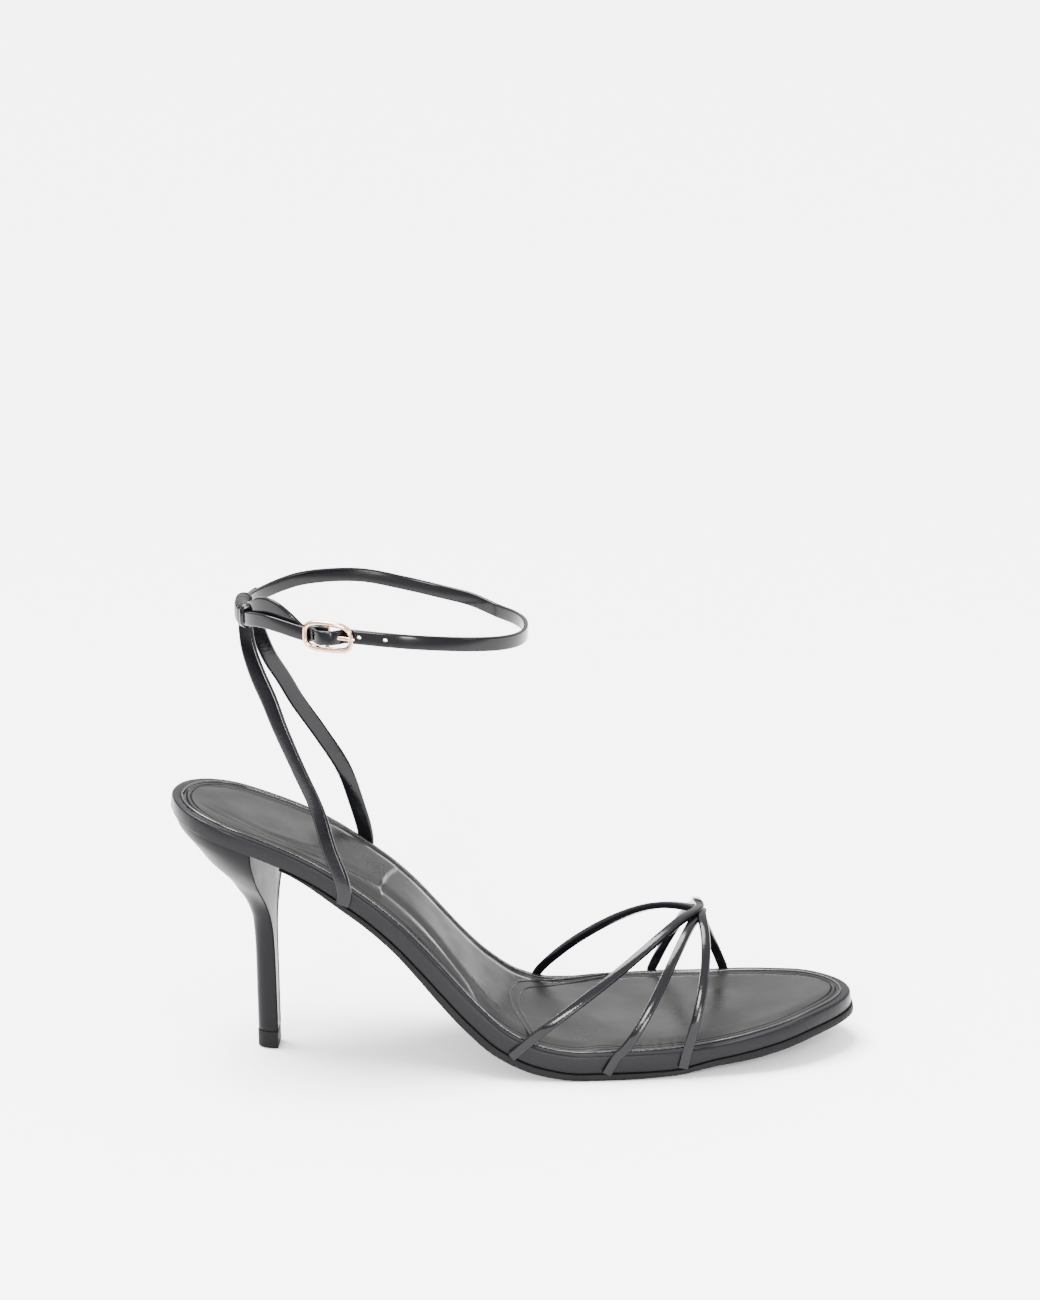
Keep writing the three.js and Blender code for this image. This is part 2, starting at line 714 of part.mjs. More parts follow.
function ankleRoute() {
  const besideEye = barOut - eyeOuter + eyeWall - ankleStrapThickness / 2;
  const points = [bucklePoint(0, besideEye)];
  for (const share of [0.5, 1, 1.5]) {
    points.push(bucklePoint(-share * endAlong, underFrame - layerPitch));
  }
  points.push(...underRows.map(layerPoint));
  const [mergeTurn, spans] = [48, 14];
  const weaveEnd = weaveRows[weaveRows.length - 1].along + 1.6;
  const frontTurn = 360 + buckleTurn - weaveEnd * endAlong / bucklePace;
  for (let i = 0; i <= spans; i++) points.push(loopPoint(mix(mergeTurn, frontTurn, i / spans)));
  for (const row of [...weaveRows].reverse()) {
    points.push(bucklePoint(row.along * endAlong, weaveOut(row.along * endAlong)));
  }
  points.push(...overRows.map(layerPoint));
  return points;
}

// The strap's eye around the bar
function barEye() {
  const [inner, outer, half] = [eyeOuter - eyeWall, eyeOuter, ankleStrapWidth / 2];
  const section = [[inner, -half], [outer, -half], [outer, half], [inner, half], [inner, -half]];
  const eye = new THREE.LatheGeometry(section.map(([x, y]) => new THREE.Vector2(x, y)), 12);
  eye.rotateX(Math.PI / 2);
  return eye.translate(...bucklePoint(0, barOut).toArray());
}

function prongRoute(gap) {
  const ring = barDiameter / 2 + prongGap + prongThickness / 2;
  const curlEnd = 250 + THREE.MathUtils.radToDeg(2 * gap / ring);
  const points = [curlEnd, 210, 170, 130, 90].map((angle) =>
    bucklePoint(ring * Math.cos(degrees(angle)), barOut + ring * Math.sin(degrees(angle))));
  const rest = buckleOut + buckleWire / 2 + prongGap + prongThickness / 2;
  points.push(bucklePoint(endAlong / 2, mix(barOut + ring, rest, 0.5)));
  points.push(bucklePoint(endAlong, rest));
  points.push(bucklePoint(endAlong + 0.7 * buckleWire, rest));
  return points;
}

// The prong, or the room that it needs with a gap around it
function prongShape(gap) {
  const bar = bucklePoint(0, barOut);
  const outwards = bucklePoint(0, 1).sub(bucklePoint(0, 0));
  const curlShare = 4 / 7;
  const facing = (point, share) =>
    share < curlShare ? point.clone().sub(bar).setZ(0) : outwards.clone();
  return ribbon(prongRoute(gap), () => prongWidth + 2 * gap, () => prongThickness + 2 * gap, facing);
}

// A hole through the strap, a distance ahead of the bar
function strapHole(along) {
  const [radius, sides] = [holeDiameter / 2, 10];
  const middle = bucklePoint(along, weaveOut(along));
  const outwards = bucklePoint(along, 1).sub(bucklePoint(along, 0));
  const hole = new THREE.CylinderGeometry(radius, radius, 3 * ankleStrapThickness, sides);
  hole.rotateZ(Math.atan2(outwards.y, outwards.x) - Math.PI / 2);
  return solidFrom(hole.translate(...middle.toArray()));
}

function ankleStrap() {
  const [centre, reach] = [loopBack + loopLength / 2, loopLength / 2];
  const pull = (value, size) => Math.sign(value) * Math.abs(value / size) ** (loopPower - 1) / size;
  const facing = (point) =>
    new THREE.Vector3(pull(point.x - centre, reach), pull(point.y, loopWidth / 2), 0).normalize();
  const strap = ribbon(ankleRoute(), () => ankleStrapWidth, () => ankleStrapThickness, facing);
  let whole = joined([strap, barEye()]).subtract(solidFrom(prongShape(prongGap)));
  for (const place of [-1, 1, 2]) {
    whole = whole.subtract(strapHole(prongHole + place * holeSpacing));
  }
  return geometryFrom(whole);
}

// Frame of the buckle, a rounded oblong of round wire, with its bar
function buckleFrame() {
  const [long, high, wire] = [endAlong, (buckleHeight - buckleWire) / 2, buckleWire / 2];
  const bent = (value) => Math.sign(value) * Math.abs(value) ** (2 / buckleSquareness);
  const frame = bentRing(32, 8, (turn, inside) => {
    const middle = new THREE.Vector2(long * bent(Math.cos(turn)), high * bent(Math.sin(turn)));
    const away = new THREE.Vector2(Math.cos(turn) / long, Math.sin(turn) / high).normalize();
    middle.addScaledVector(away, wire * Math.cos(inside));
    return bucklePoint(middle.x, buckleOut + wire * Math.sin(inside), middle.y - buckleTilt * middle.x);
  });
  const bar = new THREE.CylinderGeometry(barDiameter / 2, barDiameter / 2, 2 * high, 10);
  bar.rotateX(Math.PI / 2);
  bar.translate(...bucklePoint(0, barOut).toArray());
  return geometryFrom(joined([frame, bar]));
}

function build() {
  const leather = { color: 0x17161a, roughness: 0.3, metalness: 0 };
  const lining = { color: 0x2b2929, roughness: 0.5, metalness: 0 };
  const brass = { color: 0xd9b79a, roughness: 0.25, metalness: 1 };
  const rubber = { color: 0x1b1b1b, roughness: 0.75, metalness: 0 };
  const pieces = [
    ["footbed", footbed, leather],
    ["insole", insole, lining],
    ["outsole", outsole, rubber],
    ["heel", heel, leather],
    ["heel_top_piece", heelTopPiece, rubber],
    ["toe_straps", toeStraps, leather],
    ["back_straps", backStraps, leather],
    ["ankle_strap", ankleStrap, leather],
    ["buckle_frame", buckleFrame, brass],
    ["buckle_prong", () => prongShape(0), brass],
  ];
  const shoe = new THREE.Group();
  shoe.position.x = -(tipBack + tipDepth / 2);
  for (const [name, make, finish] of pieces) {
    const mesh = new THREE.Mesh(make(), new THREE.MeshStandardMaterial(finish));
    mesh.name = name;
    shoe.add(mesh);
  }
  return new THREE.Group().add(shoe);
}

export default build();
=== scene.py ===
"""Strappy heeled sandal, right shoe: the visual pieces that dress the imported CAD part.

Every piece is modelled in millimetres from the back of the seat, as the shoemaker's pattern is, and is
then moved to the row frame in metres.
"""

import sys

import logging
import math
from collections.abc import Callable, Iterator, Sequence
from contextlib import contextmanager
from dataclasses import dataclass, field
from enum import Enum

import bmesh
import bpy
from mathutils import Matrix, Vector

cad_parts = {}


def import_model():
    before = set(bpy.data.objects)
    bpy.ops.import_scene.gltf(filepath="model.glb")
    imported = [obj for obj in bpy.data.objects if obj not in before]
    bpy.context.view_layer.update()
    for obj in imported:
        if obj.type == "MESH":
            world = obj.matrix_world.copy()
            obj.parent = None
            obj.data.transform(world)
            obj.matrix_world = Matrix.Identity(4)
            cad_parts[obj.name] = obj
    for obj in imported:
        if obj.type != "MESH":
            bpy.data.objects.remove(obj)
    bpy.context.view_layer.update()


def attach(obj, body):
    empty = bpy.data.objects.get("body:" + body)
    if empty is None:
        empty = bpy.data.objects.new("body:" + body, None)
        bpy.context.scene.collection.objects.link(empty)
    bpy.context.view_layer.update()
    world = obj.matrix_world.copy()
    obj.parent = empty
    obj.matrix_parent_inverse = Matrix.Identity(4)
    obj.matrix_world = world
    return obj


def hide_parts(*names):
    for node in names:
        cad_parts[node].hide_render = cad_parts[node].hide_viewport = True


LOG = logging.getLogger("sandal")
METRES_PER_MM = 0.001
CLEARANCE = 0.3


class Side(Enum):
    """The two sides of the right shoe."""

    LATERAL = -1
    MEDIAL = 1


class Axis(Enum):
    """Direction of a cut or of a relief's push."""

    ALONG = "X"
    ACROSS = "Y"
    UP = "Z"


def mix(a: float, b: float, share: float) -> float:
    """Value a share of the way from a to b."""
    return a + (b - a) * share


def smooth_step(value: float, low: float, high: float) -> float:
    """Smooth rise from 0 at low to 1 at high."""
    t = min(1.0, max(0.0, (value - low) / (high - low)))
    return t * t * (3 - 2 * t)


def plateau(value: float, stretch: Sequence[float]) -> float:
    """Smooth rise over the first two places of a stretch and smooth fall over its last two."""
    low, full, past, end = stretch
    return smooth_step(value, low, full) * (1 - smooth_step(value, past, end))


def bell(value: float, middle: float, reach: float) -> float:
    """Smooth hump of height 1 around a middle."""
    return math.exp(-((value - middle) / reach) ** 2)


def read_table(rows: Sequence[Sequence[float]], place: float, column: int = 1) -> float:
    """Smooth value of one column of a table, without overshoot between its rows.

    Args:
        rows: Rows that start with their place, in rising order.
        place: Where the table is read.
        column: Column that is read.

    Returns:
        The value there.
    """
    last = len(rows) - 1
    at = min(max(place, rows[0][0]), rows[last][0])

    def slope(i: int) -> float:
        """Slope of the span after row i."""
        return (rows[i + 1][column] - rows[i][column]) / (rows[i + 1][0] - rows[i][0])

    def tangent(i: int) -> float:
        """Tangent at row i."""
        if i in (0, last):
            return slope(min(i, last - 1))
        before, after = slope(i - 1), slope(i)
        return 0.0 if before * after <= 0 else 2 * before * after / (before + after)

    i = 0
    while i < last - 1 and at > rows[i + 1][0]:
        i += 1
    span = rows[i + 1][0] - rows[i][0]
    t = (at - rows[i][0]) / span
    a, b = rows[i][column], rows[i + 1][column]
    ta, tb = tangent(i) * span, tangent(i + 1) * span
    return (2 * a - 2 * b + ta + tb) * t**3 + (3 * b - 3 * a - 2 * ta - tb) * t**2 + ta * t + a


@dataclass
class FootbedLines:
    """The lines of the footbed, by station in millimetres from the back of the seat."""

    length: float = 219.5
    seat_width: float = 48.0
    ball_width: float = 69.5
    toe_aside: float = 12.0
    lift: float = 79.6
    tread_top: float = 8.5
    seat_rounding: float = 0.12
    toe_rounding: float = 0.2
    rounding_power: float = 2.3
    profile: tuple = (
        (0, 1), (0.107, 0.905), (0.208, 0.787), (0.298, 0.62), (0.344, 0.508), (0.384, 0.388),
        (0.419, 0.278), (0.455, 0.174), (0.5, 0.074), (0.55, 0.019), (0.6, 0), (0.66, 0),
        (0.71, 0.003), (0.78, 0.017), (0.88, 0.06), (0.94, 0.093), (1, 0.112),
    )
    outline: tuple = (
        (0.11, 0, 0.471, 0.525), (0.21, 0, 0.477, 0.55), (0.318, 0.1, 0.461, 0.544),
        (0.418, 0.3, 0.422, 0.503), (0.511, 0.7, 0.403, 0.539), (0.621, 1, 0.363, 0.633),
        (0.722, 1, 0.328, 0.673), (0.823, 1, 0.265, 0.633), (0.9, 1, 0.216, 0.578), (1, 1, 0.13, 0.512),
    )
    layers: tuple = (
        (0, 5.2, 1.7), (0.35, 5.2, 1.7), (0.44, 5.38, 2.4), (0.52, 5.74, 2.4), (0.6, 6.1, 2.1),
        (0.66, 6.1, 2.1), (0.73, 6.1, 1.68), (0.8, 4.6, 2.04), (0.87, 4.6, 2.5), (1, 4.6, 2.4),
    )
    arcs: list = field(default_factory=list)

    def __post_init__(self) -> None:
        """Measures the footbed's curve once, at every millimetre and a little beyond both ends."""
        run = 0.0
        for step in range(int(self.length) + 1):
            self.arcs.append((float(step), run))
            run += math.hypot(1.0, self.height(step + 1) - self.height(step))

    @property
    def seat_end(self) -> float:
        """Station where the rounding of the seat ends."""
        return self.seat_rounding * self.length

    @property
    def toe_start(self) -> float:
        """Station where the rounding of the toe starts."""
        return (1 - self.toe_rounding) * self.length

    def height(self, station: float) -> float:
        """Height of the footbed's top edge above the floor."""
        return self.tread_top + self.lift * read_table(self.profile, station / self.length)

    def slope(self, station: float) -> float:
        """Rise of the footbed for each millimetre forwards."""
        return self.height(station + 0.5) - self.height(station - 0.5)

    def arc(self, station: float) -> float:
        """Distance along the footbed's curve from the back of the seat."""
        return read_line(self.arcs, station, 0, 1)

    def station(self, arc: float) -> float:
        """Station of a distance along the footbed's curve."""
        return read_line(self.arcs, arc, 1, 0)

    def band(self, station: float) -> float:
        """Height of the wrapped side band."""
        return read_table(self.layers, station / self.length)

    def sole(self, station: float) -> float:
        """Thickness of the outsole."""
        return read_table(self.layers, station / self.length, 2)

    def end_rounding(self, station: float, inset: float) -> float:
        """Share of the width that is left where an end of the outline closes."""
        if station < self.seat_end:
            past = (self.seat_end - station) / (self.seat_end - inset)
        else:
            past = (station - self.toe_start) / (self.length - inset - self.toe_start)
        return math.sqrt(max(0.0, 1 - max(0.0, past) ** self.rounding_power))

    def edge(self, station: float, side: Side, inset: float = 0.0) -> float:
        """Distance of an edge from the middle line, or of a line set in from that edge.

        Args:
            station: Millimetres from the back of the seat.
            side: Lateral or medial.
            inset: How far inside the edge the line runs.

        Returns:
            The signed distance, positive to the medial side.
        """
        at = station / self.length
        width = mix(self.seat_width, self.ball_width, read_table(self.outline, at, 1))
        share = read_table(self.outline, at, 2 if side is Side.LATERAL else 3)
        middle = 0.0 if at < 0.5 else self.toe_aside
        full = side.value * (width * share - inset)
        return middle + (full - middle) * self.end_rounding(station, inset)

    def edge_out(self, station: float, side: Side) -> Vector:
        """Outward direction of the footbed's edge."""
        run = (self.edge(station + 1, side) - self.edge(station - 1, side)) / 2
        return Vector((-side.value * run, side.value, 0)).normalized()

    def tilted(self, station: float) -> float:
        """Slope that the side band follows, which is upright at the seat's back."""
        return self.slope(station) * smooth_step(station, 0, 2 * self.seat_end)

    def lean(self, station: float) -> float:
        """Angle between the footbed's normal and the side band."""
        return math.atan(self.tilted(station)) - math.atan(self.slope(station))

    def place(self, station: float, aside: float, depth: float) -> Vector:
        """Point at a station, a distance from the middle line and a depth below the footbed's top."""
        normal = Vector((-self.tilted(station), 0, 1)).normalized()
        return Vector((station, aside, self.height(station))) - normal * depth

    def stations(self, start: float, end: float, spacing: float = 2.5, turns: int = 18) -> list[float]:
        """Stations between two ends, close together where an end of the outline is rounded.

        Args:
            start: First station.
            end: Last station.
            spacing: Distance between stations in the middle.
            turns: Number of stations in a rounded end.

        Returns:
            The stations in order, with both ends.
        """
        low, high = max(start, self.seat_end), min(end, self.toe_start)
        closing = [1 - math.cos(math.pi / 2 * i / turns) for i in range(turns)]
        found = [mix(start, low, share) for share in closing] if start < self.seat_end else []
        count = max(1, round((high - low) / spacing))
        found += [mix(low, high, i / count) for i in range(count + 1)]
        if end > self.toe_start:
            found += [mix(end, high, share) for share in reversed(closing)]
        return found

    def pattern(self, inset: float, start: float | None = None) -> list[Vector]:
        """Flat outline of a layer, with X along the footbed's curve.

        Args:
            inset: How far inside the footbed's edge the outline runs.
            start: Where the layer starts, if it doesn't reach the back of the seat.

        Returns:
            The points of the closed outline.
        """
        ahead = self.stations(inset if start is None else start, self.length - inset)
        far, near = (
            [Vector((self.arc(station), self.edge(station, side, inset), 0)) for station in ahead]
            for side in (Side.MEDIAL, Side.LATERAL)
        )
        back = near[1:-1] if start is None else near[:-1]
        return far + back[::-1]


def read_line(rows: Sequence[tuple[float, float]], place: float, key: int, value: int) -> float:
    """Straight reading between the rows of a measured curve, carried on beyond both ends."""
    low, high = 0, len(rows) - 2
    while low < high:
        middle = (low + high + 1) // 2
        if rows[middle][key] <= place:
            low = middle
        else:
            high = middle - 1
    a, b = rows[low], rows[low + 1]
    return mix(a[value], b[value], (place - a[key]) / (b[key] - a[key]))


# Work with Blender's operators


@contextmanager
def editing(piece: bpy.types.Object) -> Iterator[bmesh.types.BMesh]:
    """Edit mode on one piece alone, giving its mesh for selections."""
    choose(piece)
    bpy.ops.object.mode_set(mode="EDIT")
    try:
        yield bmesh.from_edit_mesh(piece.data)
    finally:
        bpy.ops.object.mode_set(mode="OBJECT")


def choose(piece: bpy.types.Object) -> None:
    """Makes one piece the only selected and active one."""
    bpy.ops.object.select_all(action="DESELECT")
    piece.select_set(True)
    bpy.context.view_layer.objects.active = piece


def pick(piece: bpy.types.Object, mode: str, test: Callable[[Vector], bool]) -> None:
    """Selects the faces whose middle passes a test, or the edges whose ends both do.

    Args:
        piece: Piece in edit mode.
        mode: FACE or EDGE.
        test: Says of a point whether it is wanted.
    """
    bpy.ops.mesh.select_mode(type=mode)
    bpy.ops.mesh.select_all(action="DESELECT")
    shape = bmesh.from_edit_mesh(piece.data)
    if mode == "FACE":
        for face in shape.faces:
            face.select_set(test(face.calc_center_median()))
    else:
        for edge in shape.edges:
            edge.select_set(all(test(v.co) for v in edge.verts))
    shape.select_flush_mode()
    bmesh.update_edit_mesh(piece.data)


def drawn(name: str, rings: Sequence[Sequence[Vector]], closed: bool = True) -> bpy.types.Object:
    """A curve of straight-sided lines.

    Args:
        name: Name of the curve.
        rings: Points of each line.
        closed: Whether each line returns to its start.

    Returns:
        The curve, selected alone.
    """
    bpy.ops.object.select_all(action="DESELECT")
    bpy.ops.curve.primitive_nurbs_path_add()
    curve = bpy.context.object
    curve.name = name
    curve.data.splines.clear()
    for ring in rings:
        line = curve.data.splines.new("POLY")
        line.points.add(len(ring) - 1)
        for spot, point in zip(line.points, ring):
            spot.co = (*point, 1)
        line.use_cyclic_u = closed
    return curve


def slab(name: str, outline: Sequence[Vector], base: float, depth: float) -> bpy.types.Object:
    """A flat layer cut to an outline.

    Args:
        name: Name of the piece.
        outline: Points of the closed outline.
        base: Height of the face that is extruded.
        depth: How far it is extruded, downwards if negative.

    Returns:
        The closed layer.
    """
    drawn(name, [outline])
    bpy.ops.object.convert(target="MESH")
    piece = bpy.context.object
    with editing(piece):
        bpy.ops.mesh.select_all(action="SELECT")
        bpy.ops.mesh.edge_face_add()
        bpy.ops.transform.translate(value=(0, 0, base))
        extrude((0, 0, depth))
        bpy.ops.mesh.select_all(action="SELECT")
        bpy.ops.mesh.normals_make_consistent(inside=False)
    return piece


def lofted(name: str, rings: Sequence[Sequence[Vector]]) -> bpy.types.Object:
    """A closed skin bridged from outline to outline.

    Args:
        name: Name of the piece.
        rings: Closed outlines in order, with as many points each.

    Returns:
        The piece, with both ends closed.
    """
    drawn(name, rings)
    bpy.ops.object.convert(target="MESH")
    piece = bpy.context.object
    size = len(rings[0])
    for i in range(len(rings) - 1):
        with editing(piece) as shape:
            bpy.ops.mesh.select_mode(type="EDGE")
            bpy.ops.mesh.select_all(action="DESELECT")
            for edge in shape.edges:
                first, second = (v.index // size for v in edge.verts)
                edge.select_set(first == second and i <= first <= i + 1)
            bpy.ops.mesh.bridge_edge_loops()
    with editing(piece):
        bpy.ops.mesh.select_all(action="SELECT")
        bpy.ops.mesh.fill_holes(sides=0)
    return piece


def round_edges(piece: bpy.types.Object, test: Callable[[Vector], bool], radius: float, segments: int) -> None:
    """Rounds the edges whose ends both pass a test, on a piece in edit mode."""
    pick(piece, "EDGE", test)
    bpy.ops.mesh.bevel(offset=radius, segments=segments, affect="EDGES")


def extrude(value: tuple[float, float, float]) -> None:
    """Extrudes the selection and moves it."""
    bpy.ops.mesh.extrude_region_move(TRANSFORM_OT_translate={"value": value})


def turn(angles: Sequence[float], centre: Vector) -> None:
    """Turns the selection about the three axes in order; without a window each angle is reversed."""
    for axis, angle in zip("XYZ", angles):
        if abs(angle) > 1e-7:
            bpy.ops.transform.rotate(value=-angle, orient_axis=axis, center_override=centre)


def stretch(value: tuple[float, float, float], centre: Vector) -> None:
    """Resizes the selection about a centre, along the three axes."""
    bpy.ops.transform.resize(value=value, center_override=centre)


def cut_across(piece: bpy.types.Object, places: Sequence[float], axis: Axis = Axis.ALONG) -> None:
    """Cuts a piece by planes, so that it can bend there.

    Args:
        piece: Piece to cut.
        places: Where the planes stand.
        axis: The planes' direction.
    """
    normal = Vector((axis is Axis.ALONG, axis is Axis.ACROSS, axis is Axis.UP))
    with editing(piece):
        for place in places:
            bpy.ops.mesh.select_all(action="SELECT")
            bpy.ops.mesh.bisect(plane_co=normal * place, plane_no=normal, threshold=1e-4)


def relief(
    piece: bpy.types.Object, axis: Axis, amount: float, share_at: Callable[[Vector], float]
) -> None:
    """Pushes the surface by a share of an amount that a function gives for each point.

    Args:
        piece: Piece to shape.
        axis: Direction of the push.
        amount: Push where the share is 1, in millimetres.
        share_at: Gives the share of a point, from 0 to 1.
    """
    choose(piece)
    group = piece.vertex_groups.new(name="relief")
    for vert in piece.data.vertices:
        share = share_at(vert.co)
        if share > 0:
            group.add([vert.index], min(1.0, share), "REPLACE")
    push = piece.modifiers.new("relief", "DISPLACE")
    push.direction = axis.value
    push.mid_level = 0
    push.strength = amount
    push.vertex_group = group.name
    bpy.ops.object.modifier_apply(modifier=push.name)
    piece.vertex_groups.remove(piece.vertex_groups["relief"])


def bend(piece: bpy.types.Object, lines: FootbedLines) -> None:
    """Bends a flat layer along the footbed's curve, as the board is pressed on the last."""
    count = 4 * int(lines.length)
    stations = [lines.length * i / count for i in range(count + 1)]
    rail = drawn("rail", [[Vector((station, 0, lines.height(station))) for station in stations]], closed=False)
    rail.data.dimensions = "3D"
    rail.data.twist_mode = "Z_UP"
    choose(piece)
    press = piece.modifiers.new("bend", "CURVE")
    press.object = rail
    press.deform_axis = "POS_X"
    bpy.ops.object.modifier_apply(modifier=press.name)
    bpy.data.objects.remove(rail)


def lean_back(piece: bpy.types.Object, lines: FootbedLines, depth: float) -> None:
    """Sets the flat layer's sides upright at the back of the seat before the layer is bent."""
    relief(piece, Axis.ALONG, depth, lambda p: max(
        0.0, -p.z / depth * math.sin(lines.lean(lines.station(p.x)))))
    relief(piece, Axis.ALONG, -depth, lambda p: max(
        0.0, p.z / depth * math.sin(lines.lean(lines.station(p.x)))))


def outward(piece: bpy.types.Object) -> None:
    """Closes doubled points and turns every face outwards."""
    with editing(piece):
        bpy.ops.mesh.select_all(action="SELECT")
        bpy.ops.mesh.remove_doubles(threshold=1e-4)
        bpy.ops.mesh.normals_make_consistent(inside=False)


def settle(piece: bpy.types.Object, shift: float, angle: float) -> None:
    """Moves a finished piece to the row frame and smooths its shading.

    Args:
        piece: Piece in millimetres from the back of the seat.
        shift: Millimetres from the seat's back to the row frame's origin.
        angle: Edges sharper than this many degrees stay crisp.
    """
    choose(piece)
    piece.scale = (METRES_PER_MM,) * 3
    piece.location = (-shift * METRES_PER_MM, 0, 0)
    bpy.ops.object.transform_apply(location=True, rotation=True, scale=True)
    bpy.ops.object.shade_smooth_by_angle(angle=math.radians(angle))


@dataclass
class Route:
    """A smooth line through points, with a direction in which a strap on it faces."""

    points: list[Vector]
    facing: Callable[[Vector, float], Vector]
    closed: bool = False

    def sample(self, count: int) -> list[Vector]:
        """Evenly spaced points of the line.

        Args:
            count: Number of spans.

        Returns:
            The points, count of them for a closed line and one more for an open one.
        """
        fine: list[Vector] = []
        total = len(self.points)
        spans = total if self.closed else total - 1
        for i in range(spans):
            a, b, c, d = (self._corner(i + k) for k in (-1, 0, 1, 2))
            fine += [spline_point(a, b, c, d, k / 12) for k in range(12)]
        fine.append(self._corner(spans))
        runs = [0.0]
        for before, after in zip(fine, fine[1:]):
            runs.append(runs[-1] + (after - before).length)
        found, at = [], 0
        for i in range(count + (0 if self.closed else 1)):
            run = runs[-1] * i / count
            while at < len(runs) - 2 and runs[at + 1] < run:
                at += 1
            share = (run - runs[at]) / max(1e-9, runs[at + 1] - runs[at])
            found.append(fine[at].lerp(fine[at + 1], share))
        return found

    def _corner(self, i: int) -> Vector:
        """Point i of the line, carried on beyond an open line's ends."""
        total = len(self.points)
        if self.closed:
            return self.points[i % total]
        if i < 0:
            return 2 * self.points[0] - self.points[1]
        if i >= total:
            return 2 * self.points[-1] - self.points[-2]
        return self.points[i]

    def frames(self, count: int) -> list[Matrix]:
        """Frames along the line: X across the strap, Y out of its face and Z along it.

        Args:
            count: Number of spans.

        Returns:
            One matrix for each sampled point.
        """
        spots = self.sample(count)
        found = []
        for i, spot in enumerate(spots):
            if self.closed:
                along = spots[(i + 1) % len(spots)] - spots[i - 1]
            else:
                along = spots[min(i + 1, count)] - spots[max(i - 1, 0)]
            along.normalize()
            out = self.facing(spot, i / count)
            out = (out - along * out.dot(along)).normalized()
            across = out.cross(along)
            frame = Matrix((across, out, along)).transposed().to_4x4()
            frame.translation = spot
            found.append(frame)
        return found


def spline_point(a: Vector, b: Vector, c: Vector, d: Vector, t: float) -> Vector:
    """Point of the centripetal curve between b and c."""
    knots = [0.0]
    for p, q in ((a, b), (b, c), (c, d)):
        knots.append(knots[-1] + max(1e-6, (q - p).length) ** 0.5)
    at = mix(knots[1], knots[2], t)

    def between(p: Vector, q: Vector, low: float, high: float) -> Vector:
        """Straight step of the curve's pyramid."""
        return p.lerp(q, (at - low) / (high - low))

    ab, bc, cd = (between(p, q, knots[i], knots[i + 1]) for i, (p, q) in enumerate(((a, b), (b, c), (c, d))))
    abc, bcd = between(ab, bc, knots[0], knots[2]), between(bc, cd, knots[1], knots[3])
    return between(abc, bcd, knots[1], knots[2])


@dataclass
class Section:
    """Rounded cross-section of a strap, wire or loop, by share of its length."""

    width: Callable[[float], float]
    thickness: Callable[[float], float]
    roundness: float = 0.45
    corner_cells: int = 3


def cord(width: float, thickness: float | None = None, cells: int = 3) -> Section:
    """Round or oval cross-section that stays the same along the piece."""
    return Section(lambda _: width, lambda _: width if thickness is None else thickness, 0.49, cells)


def sweep(name: str, route: Route, section: Section, count: int) -> bpy.types.Object:
    """Extrudes a section along a route, one turn and one step after the other.

    Args:
        name: Name of the piece.
        route: Line that the section follows.
        section: Cross-section.
        count: Number of steps.

    Returns:
        The closed piece, with a run attribute that holds millimetres along the route.
    """
    frames = route.frames(count)
    bpy.ops.object.select_all(action="DESELECT")
    bpy.ops.mesh.primitive_plane_add(size=1, location=(0, 0, 0))
    piece = bpy.context.object
    piece.name = name
    last = (section.width(0), section.thickness(0))
    with editing(piece):
        bpy.ops.mesh.select_all(action="SELECT")
        stretch((last[0], last[1], 1), Vector())
        bpy.ops.mesh.bevel(
            offset=section.roundness * min(last), segments=section.corner_cells, affect="VERTICES"
        )
        bpy.ops.mesh.select_all(action="SELECT")
        turn(frames[0].to_euler("XYZ"), Vector())
        bpy.ops.transform.translate(value=frames[0].translation)
        for i in range(1, len(frames)):
            before, after = frames[i - 1], frames[i]
            extrude(tuple(after.translation - before.translation))
            spin = after.to_3x3() @ before.to_3x3().transposed()
            turn(spin.to_euler("XYZ"), after.translation)
            share = i / count
            size = (section.width(share), section.thickness(share))
            if abs(size[0] - last[0]) + abs(size[1] - last[1]) > 1e-5:
                bpy.ops.transform.resize(
                    value=(size[0] / last[0], size[1] / last[1], 1), orient_type="GLOBAL",
                    orient_matrix=after.to_3x3(), orient_matrix_type="GLOBAL",
                    center_override=after.translation,
                )
                last = size
    if route.closed:
        join_ends(piece, frames)
    outward(piece)
    mark_runs(piece, frames)
    return piece


def join_ends(piece: bpy.types.Object, frames: Sequence[Matrix]) -> None:
    """Opens both ends of a swept ring and bridges them."""
    ends = (frames[0], frames[-1])

    def at_end(point: Vector) -> bool:
        """Whether a face's middle is the middle of an end."""
        return any((point - frame.translation).length < 1e-3 for frame in ends)

    with editing(piece):
        pick(piece, "FACE", at_end)
        bpy.ops.mesh.delete(type="ONLY_FACE")
        bpy.ops.mesh.select_mode(type="EDGE")
        bpy.ops.mesh.select_all(action="DESELECT")
        bpy.ops.mesh.select_non_manifold()
        bpy.ops.mesh.bridge_edge_loops()


def mark_runs(piece: bpy.types.Object, frames: Sequence[Matrix]) -> None:
    """Writes each point's place along and across the strap into the piece's own attribute."""
    spots = [frame.translation for frame in frames]
    runs = [0.0]
    for before, after in zip(spots, spots[1:]):
        runs.append(runs[-1] + (after - before).length)
    flat = piece.data.attributes.new("flat", "FLOAT_VECTOR", "POINT")
    ring = max(1, len(piece.data.vertices) // len(frames))
    for i, vert in enumerate(piece.data.vertices):
        guess = min(i // ring, len(spots) - 1)
        near = range(max(0, guess - 2), min(len(spots), guess + 3))
        at = min(near, key=lambda k: (vert.co - spots[k]).length)
        local = frames[at].inverted() @ vert.co
        flat.data[i].vector = (runs[at] + local.z, local.x, local.y)


# Finishes


